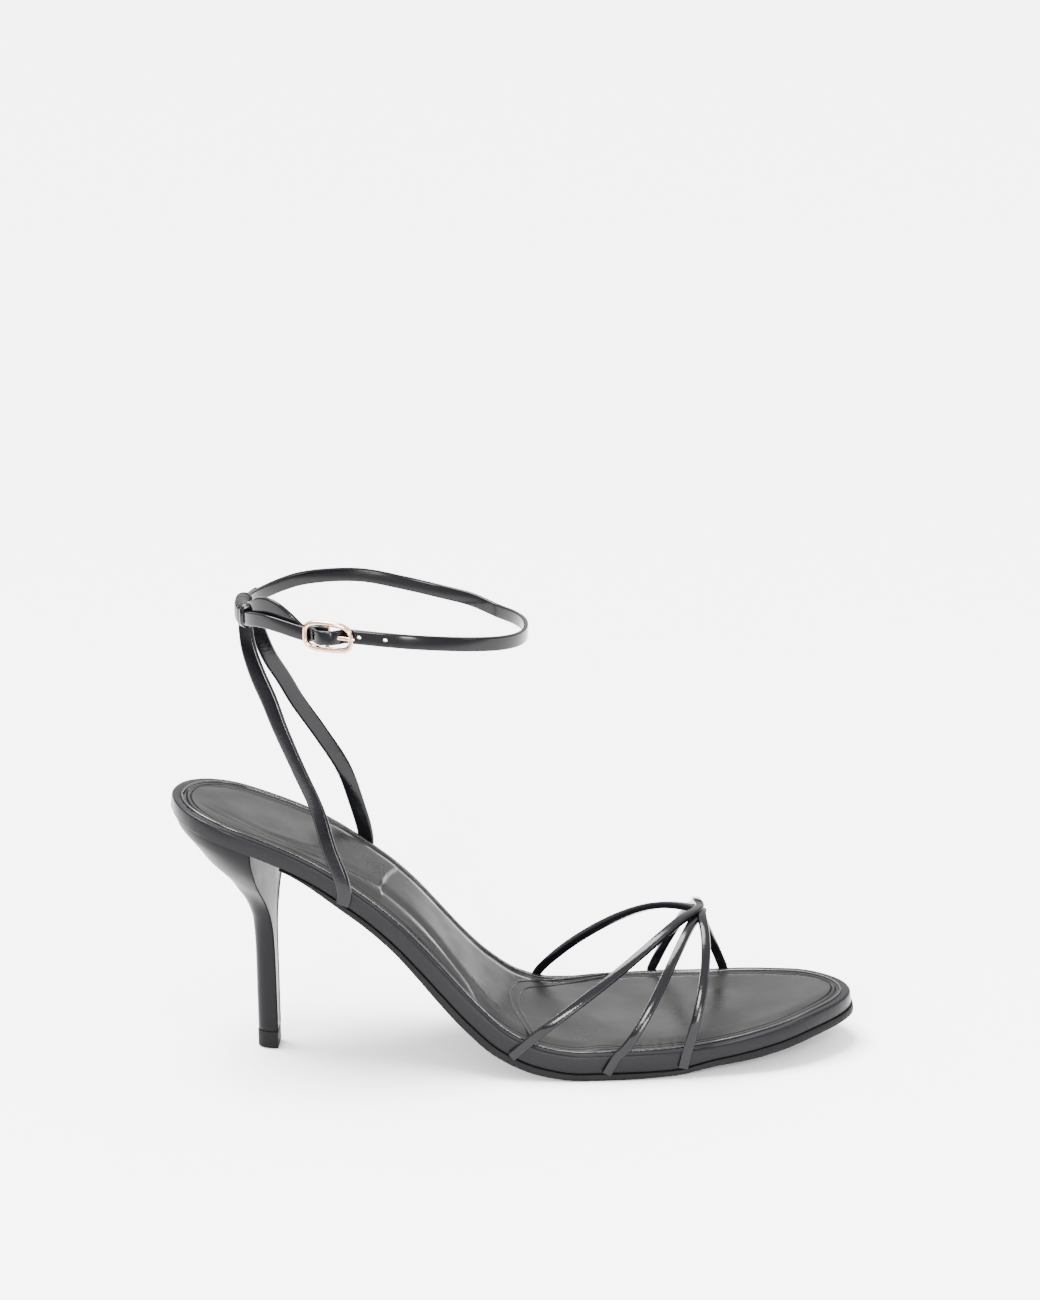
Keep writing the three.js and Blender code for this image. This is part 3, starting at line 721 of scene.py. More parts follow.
def node_of(tree: bpy.types.NodeTree, kind: str, **inputs: object) -> bpy.types.Node:
    """Adds a node and sets the inputs that are named, with spaces for underscores."""
    node = tree.nodes.new(kind)
    set_sockets(node, {key.replace("_", " "): value for key, value in inputs.items()})
    return node


def set_sockets(node: bpy.types.Node, values: dict[str, object]) -> None:
    """Sets a node's inputs by name."""
    for key, value in values.items():
        node.inputs[key].default_value = value


def new_group(name: str, inputs: dict[str, float], outputs: Sequence[str]) -> bpy.types.NodeTree:
    """Starts a shader node group with float inputs and outputs."""
    group = bpy.data.node_groups.new(name, "ShaderNodeTree")
    for key, value in inputs.items():
        kind = "NodeSocketVector" if key == "Vector" else "NodeSocketFloat"
        socket = group.interface.new_socket(key, in_out="INPUT", socket_type=kind)
        if kind == "NodeSocketFloat":
            socket.default_value = value
    for key in outputs:
        group.interface.new_socket(key, in_out="OUTPUT", socket_type="NodeSocketFloat")
    return group


def leather_grain() -> bpy.types.NodeTree:
    """Group that gives a fine pebbled grain with soft creases across it.

    Returns:
        The group, whose Height runs from 0 to 1 and whose Wear is a soft mask.
    """
    group = bpy.data.node_groups.get("leather grain")
    if group:
        return group
    sockets = {"Vector": 0, "Grain": 1200.0, "Crease": 160.0, "Crease share": 0.5}
    group = new_group("leather grain", sockets, ["Height", "Wear"])
    ins, outs = group.nodes.new("NodeGroupInput"), group.nodes.new("NodeGroupOutput")
    pebble = node_of(group, "ShaderNodeTexVoronoi")
    creases = node_of(group, "ShaderNodeTexNoise", Detail=4.0, Roughness=0.6, Distortion=0.6)
    wear = node_of(group, "ShaderNodeTexNoise", Detail=2.0, Scale=55.0)
    blend = node_of(group, "ShaderNodeMix")
    for source, socket, node, key in (
        (ins, "Vector", pebble, "Vector"), (ins, "Vector", creases, "Vector"), (ins, "Vector", wear, "Vector"),
        (ins, "Grain", pebble, "Scale"), (ins, "Crease", creases, "Scale"),
        (ins, "Crease share", blend, "Factor"), (pebble, "Distance", blend, 2), (creases, "Fac", blend, 3),
        (blend, 0, outs, "Height"), (wear, "Fac", outs, "Wear"),
    ):
        group.links.new(source.outputs[socket], node.inputs[key])
    return group


@dataclass(frozen=True)
class Finish:
    """A leather, lining, rubber or metal finish."""

    name: str
    color: tuple[float, float, float]
    roughness: float
    roughness_spread: float = 0.0
    metallic: float = 0.0
    coat: float = 0.0
    coat_roughness: float = 0.1
    specular: float = 0.5
    grain: float = 1200.0
    crease: float = 160.0
    crease_share: float = 0.5
    bump: float = 0.1
    bump_distance: float = 0.0001
    strap_stretch: float = 0.0

    def make(self) -> bpy.types.Material:
        """Builds the material once.

        Returns:
            The material.
        """
        found = bpy.data.materials.get(self.name)
        if found:
            return found
        material = bpy.data.materials.new(self.name)
        material.use_nodes = True
        tree = material.node_tree
        shader = tree.nodes["Principled BSDF"]
        set_sockets(shader, {
            "Base Color": (*self.color, 1), "Metallic": self.metallic, "Roughness": self.roughness,
            "Specular IOR Level": self.specular,
            "Coat Weight": self.coat, "Coat Roughness": self.coat_roughness,
        })
        grain = tree.nodes.new("ShaderNodeGroup")
        grain.node_tree = leather_grain()
        set_sockets(grain, {"Grain": self.grain, "Crease": self.crease, "Crease share": self.crease_share})
        self._place(tree, grain)
        bump = node_of(tree, "ShaderNodeBump", Strength=self.bump, Distance=self.bump_distance)
        tree.links.new(grain.outputs["Height"], bump.inputs["Height"])
        tree.links.new(bump.outputs["Normal"], shader.inputs["Normal"])
        if self.roughness_spread:
            spread = node_of(tree, "ShaderNodeMapRange", From_Min=0.3, From_Max=0.7,
                             To_Min=self.roughness - self.roughness_spread,
                             To_Max=self.roughness + self.roughness_spread)
            tree.links.new(grain.outputs["Wear"], spread.inputs["Value"])
            tree.links.new(spread.outputs["Result"], shader.inputs["Roughness"])
        return material

    def _place(self, tree: bpy.types.NodeTree, grain: bpy.types.Node) -> None:
        """Feeds the grain with the strap's own flat pattern, or with the object's place."""
        if self.strap_stretch:
            flat = tree.nodes.new("ShaderNodeAttribute")
            flat.attribute_name = "flat"
            stretched = (METRES_PER_MM * self.strap_stretch, METRES_PER_MM, METRES_PER_MM)
            scale = node_of(tree, "ShaderNodeMapping", Scale=stretched)
            tree.links.new(flat.outputs["Vector"], scale.inputs["Vector"])
            tree.links.new(scale.outputs["Vector"], grain.inputs["Vector"])
        else:
            place = tree.nodes.new("ShaderNodeTexCoord")
            tree.links.new(place.outputs["Object"], grain.inputs["Vector"])


BAND_LEATHER = Finish(
    "wrapped band leather", (0.0042, 0.004, 0.005), 0.34, 0.06, coat=0.03, coat_roughness=0.2, specular=0.1,
    grain=1500.0, crease=90.0, crease_share=0.55, bump=0.25,
)
HEEL_LEATHER = Finish(
    "wrapped heel leather", (0.004, 0.0038, 0.0046), 0.36, 0.06, specular=0.075,
    grain=1500.0, crease=90.0, crease_share=0.45, bump=0.2,
)
SEAM_LEATHER = Finish("dark seam", (0.0012, 0.0012, 0.0014), 0.5, specular=0.05, bump=0.05)
STRAP_LEATHER = Finish(
    "glossy strap leather", (0.0025, 0.0024, 0.0033), 0.15, 0.05, specular=0.2,
    grain=700.0, crease=240.0, crease_share=0.7, bump=0.4, bump_distance=0.00012, strap_stretch=1.6,
)
LINING_LEATHER = Finish(
    "soft insole lining", (0.0085, 0.0081, 0.0079), 0.34, 0.12, specular=0.175,
    grain=1500.0, crease=60.0, crease_share=0.5, bump=0.3,
)
PIPING_LEATHER = Finish(
    "glossy insole piping", (0.006, 0.0058, 0.006), 0.2, specular=0.6,
    grain=900.0, crease=500.0, crease_share=0.6, bump=0.5, bump_distance=0.00012,
)
SOLE_RUBBER = Finish(
    "sole rubber", (0.0032, 0.0032, 0.0035), 0.62, 0.08, specular=0.1,
    grain=1400.0, crease=900.0, crease_share=0.5, bump=0.7, bump_distance=0.0002,
)
ROSE_METAL = Finish(
    "rose gold metal", (0.62, 0.4, 0.28), 0.16, 0.03, metallic=1.0,
    grain=300.0, crease=500.0, crease_share=0.9, bump=0.03,
)


def complete(piece: bpy.types.Object, shift: float, angle: float, finish: Finish) -> None:
    """Settles a modelled piece in the row frame, dresses it and reports it.

    Args:
        piece: Piece in millimetres from the back of the seat.
        shift: Millimetres from the seat's back to the row frame's origin.
        angle: Edges sharper than this many degrees stay crisp.
        finish: Its finish.
    """
    settle(piece, shift, angle)
    piece.data.materials.clear()
    piece.data.materials.append(finish.make())
    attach(piece, "root")
    LOG.info("built %s, %d faces", piece.name, len(piece.data.polygons))


# Sub-assemblies


@dataclass(frozen=True)
class TopSpot:
    """Place on the insole's top."""

    station: float
    aside: float
    lateral: float
    medial: float

    @property
    def room(self) -> float:
        """Distance to the nearer edge."""
        return min(self.lateral, self.medial)


@dataclass
class Footbed:
    """Board with its satin band wrapped round the edge, its padded insole and its outsole."""

    lines: FootbedLines
    shift: float
    cell: float = 2.0
    band_start: float = 4.0
    top_round: float = 0.8
    under_round: float = 0.3
    margin: float = 1.6
    recess_depth: float = 1.2
    recess_inset: float = 3.1
    insole_pad: float = 2.0
    insole_edge: float = 1.0
    pad_rise: float = 5.0
    heel_cup: float = 1.6
    bead: float = 0.75
    groove: float = 0.3
    groove_depth: float = 0.45
    piping: float = 0.8
    seam_bead: float = 0.9
    valley_depth: float = 0.9
    valley_width: float = 2.3
    valley_stretch: tuple = (4, 22, 98, 110)
    crinkle: float = 0.35
    crinkle_stretch: tuple = (144, 148, 162, 167)
    fold: float = 0.8
    fold_station: float = 138.0
    fold_reach: float = 5.0
    heel_pad: float = 0.7
    heel_pad_stretch: tuple = (-26, -3, -0.8, 0.7)
    heel_pad_end: tuple = ((-30, 69), (-6, 66.5), (3, 67.1), (10, 68.2), (18.4, 69.8), (30, 71))
    valley: tuple = (
        (9.5, -4.4), (19.4, -6.7), (32.6, -11.3), (45.2, -11.8), (56.1, -10.0), (66.9, -6.4),
        (79.6, -6.0), (91.0, -10.2), (102.6, -17.8), (107.4, -20.2),
    )
    outer_seam: tuple = (
        (117.5, -24.5), (115.1, -19.1), (111.6, -11.4), (108.4, -3.4), (107.1, 4.4), (107.4, 10.0),
        (109.2, 17.5), (114.0, 24.5), (121.0, 30.5), (131.0, 37.0), (140.0, 40.5),
    )
    inner_seam: tuple = (
        (116.6, -18.0), (113.2, -10.0), (110.6, -1.5), (110.0, 7.1), (111.4, 14.2), (115.1, 20.6),
        (120.5, 25.6), (129.0, 32.5), (139.0, 38.2),
    )
    cross_cell: float = 1.25
    cross_reach: float = 45.0
    fine_stretches: tuple = ((65.5, 71.0, 0.5), (142.0, 168.0, 0.7))
    sole_proud: float = 0.5
    sole_start: float = 38.2
    sole_taper: float = 22.0
    sole_feather: float = 0.6

    def build(self) -> None:
        """Builds and dresses the three layers."""
        self._board()
        self._insole()
        self._piping()
        self._pad_seam("pad_seam_outer", self.outer_seam)
        self._pad_seam("pad_seam_inner", self.inner_seam)
        self._outsole()

    @property
    def insole_inset(self) -> float:
        """How far inside the footbed's edge the insole lies."""
        return self.recess_inset + CLEARANCE

    @property
    def insole_under(self) -> float:
        """Height of the insole's underside over the band's top edge."""
        return CLEARANCE - self.recess_depth

    def _cuts(self, start: float = 0.0) -> list[float]:
        """Places along the flat pattern where a layer is cut, so that it can bend."""
        end = self.lines.arc(self.lines.length)
        count = int((end - start) / self.cell)
        return [mix(start, end, i / count) for i in range(1, count)]

    def _board(self) -> None:
        """Board and band in one: a wrapped edge, a flat margin and a recess for the insole."""
        lines, floor = self.lines, -self.band_start
        piece = slab("footbed_board", lines.pattern(0), 0, floor)
        with editing(piece):
            round_edges(piece, lambda p: p.z > -0.01, self.top_round, 4)
            round_edges(piece, lambda p: p.z < floor + 0.01, self.under_round, 2)
            pick(piece, "FACE", lambda p: p.z > -0.001)
            lip = 0.2
            margin = self.recess_inset - self.top_round - lip
            for thickness, depth in ((margin, 0), (lip, -lip), (0.02, lip - self.recess_depth)):
                bpy.ops.mesh.inset(thickness=thickness, depth=depth, use_even_offset=True)
        cut_across(piece, self._cuts())
        relief(piece, Axis.UP, -self.heel_cup, self._cup_share(-self.recess_depth))
        deepest = max(row[1] for row in lines.layers) - self.band_start
        relief(piece, Axis.UP, -deepest, lambda p: 0.0 if p.z > floor / 2 else (
            lines.band(lines.station(p.x)) - self.band_start) / deepest)
        self._finish(piece, BAND_LEATHER, "footbed")

    def _cup_share(self, below: float) -> Callable[[Vector], float]:
        """Share of the heel cup's depth, for points of the recess's floor."""
        lines = self.lines

        def share(p: Vector) -> float:
            """Share at one point."""
            station = lines.station(p.x)
            left = lines.edge(station, Side.LATERAL, self.recess_inset)
            right = lines.edge(station, Side.MEDIAL, self.recess_inset)
            inside = p.z < below + 0.05 and p.z > below - 0.05 and left + 0.2 < p.y < right - 0.2
            return self._cup(station, (p.y - left) / max(0.1, right - left)) if inside else 0.0

        return share

    def _cup(self, station: float, across: float) -> float:
        """Hollow of the heel cup, deepest in the middle of the seat."""
        along = min(1.0, station / (2 * self.lines.seat_end))
        return max(0.0, math.sin(math.pi * along) * (1 - (2 * across - 1) ** 2))

    def _insole(self) -> None:
        """Padded insole with two beads around its edge."""
        lines = self.lines
        piece = slab("insole_pad", lines.pattern(self.insole_inset), self.insole_under, self.insole_edge)
        top = self.insole_under + self.insole_edge
        with editing(piece):
            round_edges(piece, lambda p: p.z > top - 0.01, 0.3, 3)
            pick(piece, "FACE", lambda p: p.z > top - 0.001)
            for _ in range(2):
                down = self.groove_depth
                for thickness, depth in ((self.bead, 0), (self.groove, -down), (self.groove, down)):
                    bpy.ops.mesh.inset(thickness=thickness, depth=depth, use_even_offset=True)
        cut_across(piece, self._cuts())
        rows = int(self.cross_reach / self.cross_cell)
        cut_across(piece, [(i - 24) * self.cross_cell for i in range(rows + 24)], Axis.ACROSS)
        for start, end, cell in self.fine_stretches:
            count = math.ceil((end - start) / cell)
            cut_across(piece, [lines.arc(start + cell * i) for i in range(count)])
        for amount, share_at in (
            (self.insole_pad - self.insole_edge, self._pad_share), (-self.heel_cup, self._pad_cup),
            (-self.valley_depth, self._valley_share), (self.crinkle, self._crinkle_share),
            (self.fold, self._fold_share), (self.heel_pad, self._pad_end_share),
        ):
            relief(piece, Axis.UP, amount, self._on_top(share_at))
        self._finish(piece, LINING_LEATHER, "insole")

    def _on_top(self, share_at: Callable[[TopSpot], float]) -> Callable[[Vector], float]:
        """Share of a relief for the points of the insole's top alone.

        Args:
            share_at: Gives the share of a place on the top.

        Returns:
            The share by point, which is 0 on the sides and below.
        """

        def share(p: Vector) -> float:
            """Share at one point."""
            if p.z < self.insole_under + CLEARANCE:
                return 0.0
            station = self.lines.station(p.x)
            left = self.lines.edge(station, Side.LATERAL, self.insole_inset)
            right = self.lines.edge(station, Side.MEDIAL, self.insole_inset)
            return share_at(TopSpot(station, p.y, p.y - left, right - p.y))

        return share

    def _pad_share(self, spot: TopSpot) -> float:
        """Share of the pad's crown."""
        return smooth_step(spot.room - 2 * (self.bead + self.groove), -0.5, self.pad_rise)

    def _pad_cup(self, spot: TopSpot) -> float:
        """Share of the heel cup."""
        return self._cup(spot.station, spot.lateral / max(0.1, spot.lateral + spot.medial))

    def _valley_share(self, spot: TopSpot) -> float:
        """Share of the soft valley that walking presses along the near side of the seat and the arch."""
        middle = read_table(self.valley, spot.station)
        return plateau(spot.station, self.valley_stretch) * bell(spot.aside, middle, self.valley_width)

    def _crinkle_share(self, spot: TopSpot) -> float:
        """Share of the small crinkles beside the near edge between two toe straps."""
        wave = 0.5 + 0.3 * math.sin(spot.station * 1.9) + 0.2 * math.sin(spot.station * 3.1 + 1)
        return plateau(spot.station, self.crinkle_stretch) * wave * (1 - smooth_step(spot.lateral, 2, 6))

    def _pad_end_share(self, spot: TopSpot) -> float:
        """Share of the heel pad's rise towards its front end, which shows as a crease across the lining."""
        end = read_table(self.heel_pad_end, spot.aside)
        stretch = [end + ahead for ahead in self.heel_pad_stretch]
        return plateau(spot.station, stretch) * smooth_step(spot.room, 3, 9)

    def _fold_share(self, spot: TopSpot) -> float:
        """Share of the lining's lifted fold beside the middle toe strap."""
        near_edge = 1 - smooth_step(spot.lateral, 1.5, 7)
        return bell(spot.station, self.fold_station, self.fold_reach) * near_edge

    def _piping(self) -> None:
        """Glossy piping that closes the gap between the band and the insole."""
        lines, inset = self.lines, self.recess_inset + 0.1
        ahead = lines.stations(inset, lines.length - inset, 5.0, 12)
        rise = 0.1
        points = [
            lines.place(station, lines.edge(station, side, inset), -rise)
            for side, stations in ((Side.LATERAL, ahead), (Side.MEDIAL, ahead[-2:0:-1]))
            for station in stations
        ]
        route = Route(points, lambda p, _: Vector((-lines.slope(p.x), 0, 1)), closed=True)
        complete(sweep("insole_piping", route, cord(self.piping), 260), self.shift, 60,
                 PIPING_LEATHER)

    def _pad_seam(self, name: str, places: Sequence[tuple[float, float]]) -> None:
        """Raised seam around the forefoot pad, by station and distance from the middle line."""
        lines, top = self.lines, self.insole_pad - self.recess_depth + CLEARANCE
        points = [lines.place(station, aside, -top) for station, aside in places]
        route = Route(points, lambda p, _: Vector((-lines.slope(p.x), 0, 1)))
        piece = sweep(name, route, cord(self.seam_bead, 0.6 * self.seam_bead), 70)
        complete(piece, self.shift, 60, LINING_LEATHER)

    def _outsole(self) -> None:
        """Outsole from the heel's breast to the toe, a little proud of the band."""
        lines = self.lines
        piece = slab("outsole_layer", lines.pattern(-self.sole_proud, self.sole_start), 0, -1)
        with editing(piece):
            round_edges(piece, lambda p: abs(p.z + 1) < 0.01, 0.35, 3)
            round_edges(piece, lambda p: abs(p.z) < 0.01, 0.15, 2)
        cut_across(piece, self._cuts(lines.arc(self.sole_start)))
        thickest = max(row[2] for row in lines.layers)
        deepest = max(row[1] for row in lines.layers) + CLEARANCE

        def full(p: Vector) -> float:
            """Share of the full thickness, which the sole gains from its thin start."""
            return smooth_step(lines.station(p.x), self.sole_start, self.sole_start + self.sole_taper)

        relief(piece, Axis.UP, self.sole_feather, lambda p: 0.0 if p.z > -0.5 else 1 - full(p))
        relief(piece, Axis.UP, -thickest, lambda p: 0.0 if p.z > -0.35 else (
            lines.sole(lines.station(p.x)) - 1) / thickest * full(p))
        relief(piece, Axis.UP, -deepest, lambda p: (lines.band(lines.station(p.x)) + CLEARANCE) / deepest)
        self._finish(piece, SOLE_RUBBER, "outsole")

    def _finish(self, piece: bpy.types.Object, finish: Finish, node: str) -> None:
        """Bends a layer, settles it in the frame and lets it stand for its CAD node."""
        lean_back(piece, self.lines, 8.0)
        bend(piece, self.lines)
        outward(piece)
        complete(piece, self.shift, 40, finish)
        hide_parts(node)


@dataclass
class Heel:
    """Wrapped stiletto heel with its flat breast, and the rubber top piece that it stands on."""

    lines: FootbedLines
    shift: float
    breast: float = 32.2
    skew: float = 4.2
    hollow: float = 0.9
    inset: float = 0.4
    tip_back: float = 25.6
    tip_depth: float = 6.7
    tip_width: float = 8.0
    tip_rise: float = 5.8
    proud: float = 0.15
    seam: float = 0.5
    corner: float = math.radians(80)
    cells: int = 30
    rows: tuple = (
        (0, 0, 0, 0), (0.05, 0.051, 0.05, 0.3), (0.1, 0.17, 0.13, 0.6), (0.15, 0.285, 0.24, 0.8),
        (0.2, 0.386, 0.39, 0.95), (0.25, 0.538, 0.54, 1), (0.3, 0.668, 0.7, 0.9), (0.35, 0.766, 0.82, 0.76),
        (0.4, 0.872, 0.885, 0.64), (0.5, 0.97, 0.955, 0.45), (0.65, 0.992, 0.99, 0.24),
        (0.85, 0.996, 1, 0.07), (1, 1, 1, 0),
    )

    def build(self) -> None:
        """Builds and dresses the heel and its top piece."""
        falls = [i / 40 for i in range(41)]
        rings = [self._ring([fall, *(read_table(self.rows, fall, k) for k in (1, 2, 3))]) for fall in falls]
        stem = lofted("heel_cover", rings)
        with editing(stem):
            bpy.ops.mesh.select_mode(type="EDGE")
            bpy.ops.mesh.select_all(action="DESELECT")
            bpy.ops.mesh.edges_select_sharp(sharpness=math.radians(40))
            bpy.ops.mesh.bevel(offset=0.25, segments=3, affect="EDGES")
        self._dress(stem, HEEL_LEATHER, "heel")
        self._seam("heel_seam_outer", [ring[-1] for ring in rings])
        self._seam("heel_seam_inner", [ring[self.cells + 1] for ring in rings])
        self._seam("heel_seat_seam", rings[0][:self.cells + 1])
        rise = self.tip_rise
        levels = ((0, -0.3), (0.1, -0.1), (0.35, 0), (rise - 0.2, 0), (rise, -0.15))
        tip = lofted("heel_tip_rubber", [self._tip_ring(level, self.proud + grow) for level, grow in levels])
        self._dress(tip, SOLE_RUBBER, "heel_top_piece")

    def _dress(self, piece: bpy.types.Object, finish: Finish, node: str) -> None:
        """Settles a piece of the heel in the frame and lets it stand for its CAD node."""
        outward(piece)
        complete(piece, self.shift, 32, finish)
        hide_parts(node)

    def _seam(self, name: str, points: Sequence[Vector]) -> None:
        """Dark seam where the cover is turned in, at a corner of the breast or under the band."""
        middle = Vector((self.tip_back, 0, 0))
        route = Route(points, lambda p, _: (p - middle) * Vector((1, 1, 0)))
        complete(sweep(name, route, cord(self.seam, 0.8 * self.seam), 60), self.shift, 60,
                 SEAM_LEATHER)

    def _around(self) -> list[tuple[float, float, bool]]:
        """Places round an outline: angle from the back, station of the seat and whether on the breast."""
        places = []
        for i in range(self.cells + 1):
            angle = mix(-self.corner, self.corner, i / self.cells)
            ahead = self.breast + self.skew * math.sin(angle)
            places.append((angle, mix(ahead, 2 * self.inset, math.cos(angle)), False))
        for share in (1, 1 / 3, -1 / 3, -1):
            angle = share * self.corner
            places.append((angle, self.breast + self.skew * math.sin(angle), True))
        return places

    def _tip_point(self, angle: float, on_breast: bool, grow: float, height: float) -> Vector:
        """Point of the tip's outline, which is round behind and flat in front."""
        front = self.tip_back + self.tip_depth + grow
        back = 0.0 if on_breast else (self.tip_depth + 2 * grow) * math.cos(angle) ** 0.8
        return Vector((front - back, (self.tip_width / 2 + grow) * math.sin(angle), height))

    def _tip_ring(self, height: float, grow: float) -> list[Vector]:
        """Outline of the tip at a height, grown by a distance."""
        return [self._tip_point(angle, on_breast, grow, height) for angle, _, on_breast in self._around()]

    def _ring(self, row: Sequence[float]) -> list[Vector]:
        """Outline of the heel at a row of its table.

        Args:
            row: Shares of the fall, of the way in to the tip for back and sides, and of the breast's hollow.

        Returns:
            The points of the closed outline.
        """
        lines, found = self.lines, []
        fall, back, side_in, hollow = row
        for angle, station, on_breast in self._around():
            side = Side.LATERAL if angle < 0 else Side.MEDIAL
            widest = mix(station, 2 * self.inset, math.cos(self.corner)) if on_breast else station
            reach = angle / (self.corner if on_breast else math.radians(4))
            aside = lines.edge(widest, side, self.inset) * min(1.0, abs(reach))
            top = lines.place(station, aside, lines.band(station) + 0.05)
            tip = self._tip_point(angle, on_breast, 0, self.tip_rise + CLEARANCE / 2)
            found.append(Vector((
                mix(top.x, tip.x, back) - (self.hollow * hollow if on_breast else 0),
                mix(top.y, tip.y, side_in),
                mix(top.z, tip.z, fall),
            )))
        return found


@dataclass(frozen=True)
class ToeStrap:
    """One toe strap: its two feet, its run to the knot and its lap in it."""

    name: str
    lateral: float
    lean: float
    pace: float
    bow: float
    medial: float
    medial_pace: float
    medial_bow: float
    lap: float


@dataclass
class ToeStraps:
    """Three thin straps that cross in a knot over the toes."""

    lines: FootbedLines
    shift: float
    width: float = 3.0
    thickness: float = 2.2
    flat: float = 1.1
    foot: float = 3.3
    knot_forward: float = 169.3
    knot_aside: float = 6.0
    knot_height: float = 37.6
    knot_thickness: float = 4.6
    foot_share: float = 0.12
    fold_width: float = 3.4
    fold_wall: float = 1.2
    straps: tuple[ToeStrap, ...] = (
        ToeStrap("toe_strap_long", 0.519, 0.35, 1.145, 0.21, 0.815, 1.14, -0.13, 0.2),
        ToeStrap("toe_strap_middle", 0.652, 0.55, 0.75, 0.02, 0.705, 1.18, 0.12, -0.2),
        ToeStrap("toe_strap_front", 0.754, 0.3, 0.83, 0.09, 0.528, 1.35, 0.2, 0.04),
    )

    @property
    def knot(self) -> Vector:
        """Middle of the knot."""
        return Vector((self.knot_forward, self.knot_aside, self.lines.tread_top + self.knot_height))

    def build(self) -> None:
        """Builds and dresses the straps and the fold over their crossing."""
        pieces = [self._strap(strap) for strap in self.straps]
        pieces.append(self._fold())
        for piece in pieces:
            complete(piece, self.shift, 60, STRAP_LEATHER)
        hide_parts("toe_straps")

    def _half(self, station: float, side: Side, strap: ToeStrap) -> list[Vector]:
        """Points of one half of a strap, from below the band's edge to the knot."""
        lines, knot = self.lines, self.knot
        lateral = side is Side.LATERAL
        lean = strap.lean * lines.band(station) if lateral else 0.0
        pace, bow = (strap.pace, strap.bow) if lateral else (strap.medial_pace, strap.medial_bow)
        points = []
        for share in (0.98, 0.5, 0):
            spot = station - share * lean
            aside = lines.edge(spot, side) + side.value * (CLEARANCE / 3 + self.flat / 2)
            points.append(lines.place(spot, aside, share * lines.band(station)))
        foot, height = points[-1], knot.z + strap.lap * self.knot_thickness
        for angle in (4, 16, 28, 40, 52, 64, 76):
            t = angle / 90
            points.append(Vector((
                mix(foot.x, knot.x, t**pace) + bow * self.knot_height * math.sin(math.pi * t),
                mix(knot.y, foot.y, math.cos(math.radians(angle))),
                mix(foot.z, height, math.sin(math.radians(angle))),
            )))
        return points

    def _strap(self, strap: ToeStrap) -> bpy.types.Object:
        """One strap from the lateral band over the knot to the medial band."""
        lines = self.lines
        lateral = self._half(strap.lateral * lines.length, Side.LATERAL, strap)
        medial = self._half(strap.medial * lines.length, Side.MEDIAL, strap)
        middle = self.knot + Vector((0, 0, strap.lap * self.knot_thickness))

        def on_band(share: float) -> float:
            """How far the strap is flattened there, as on the band."""
            return smooth_step(self.foot_share - min(share, 1 - share), 0, self.foot_share / 2.5)

        def facing(point: Vector, share: float) -> Vector:
            """Outwards of the band at the feet, and outwards of the foot above."""
            side = Side.LATERAL if share < 0.5 else Side.MEDIAL
            station = (strap.lateral if share < 0.5 else strap.medial) * lines.length
            round_out = Vector((0, point.y - self.knot_aside, point.z - lines.tread_top / 2)).normalized()
            return round_out.lerp(lines.edge_out(station, side), on_band(share))

        route = Route([*lateral, middle, *reversed(medial)], facing)
        section = Section(
            lambda share: mix(self.width, self.foot, on_band(share)),
            lambda share: mix(self.thickness, self.flat, on_band(share)),
            0.48, 4,
        )
        return sweep(strap.name, route, section, 90)

    def _fold(self) -> bpy.types.Object:
        """Short fold of leather wrapped over the crossing."""
        middle = self.knot + Vector((0.2, 0, -0.9))
        half = 0.36 * self.knot_thickness
        points = [
            middle + Vector((0.6 * math.sin(a), half * 1.3 * math.cos(a), half * math.sin(a)))
            for a in (math.radians(30 * i) for i in range(12))
        ]
        route = Route(points, lambda p, _: (p - middle), closed=True)
        section = Section(lambda _: self.fold_width, lambda _: self.fold_wall, 0.48, 4)
        return sweep("toe_knot_fold", route, section, 36)


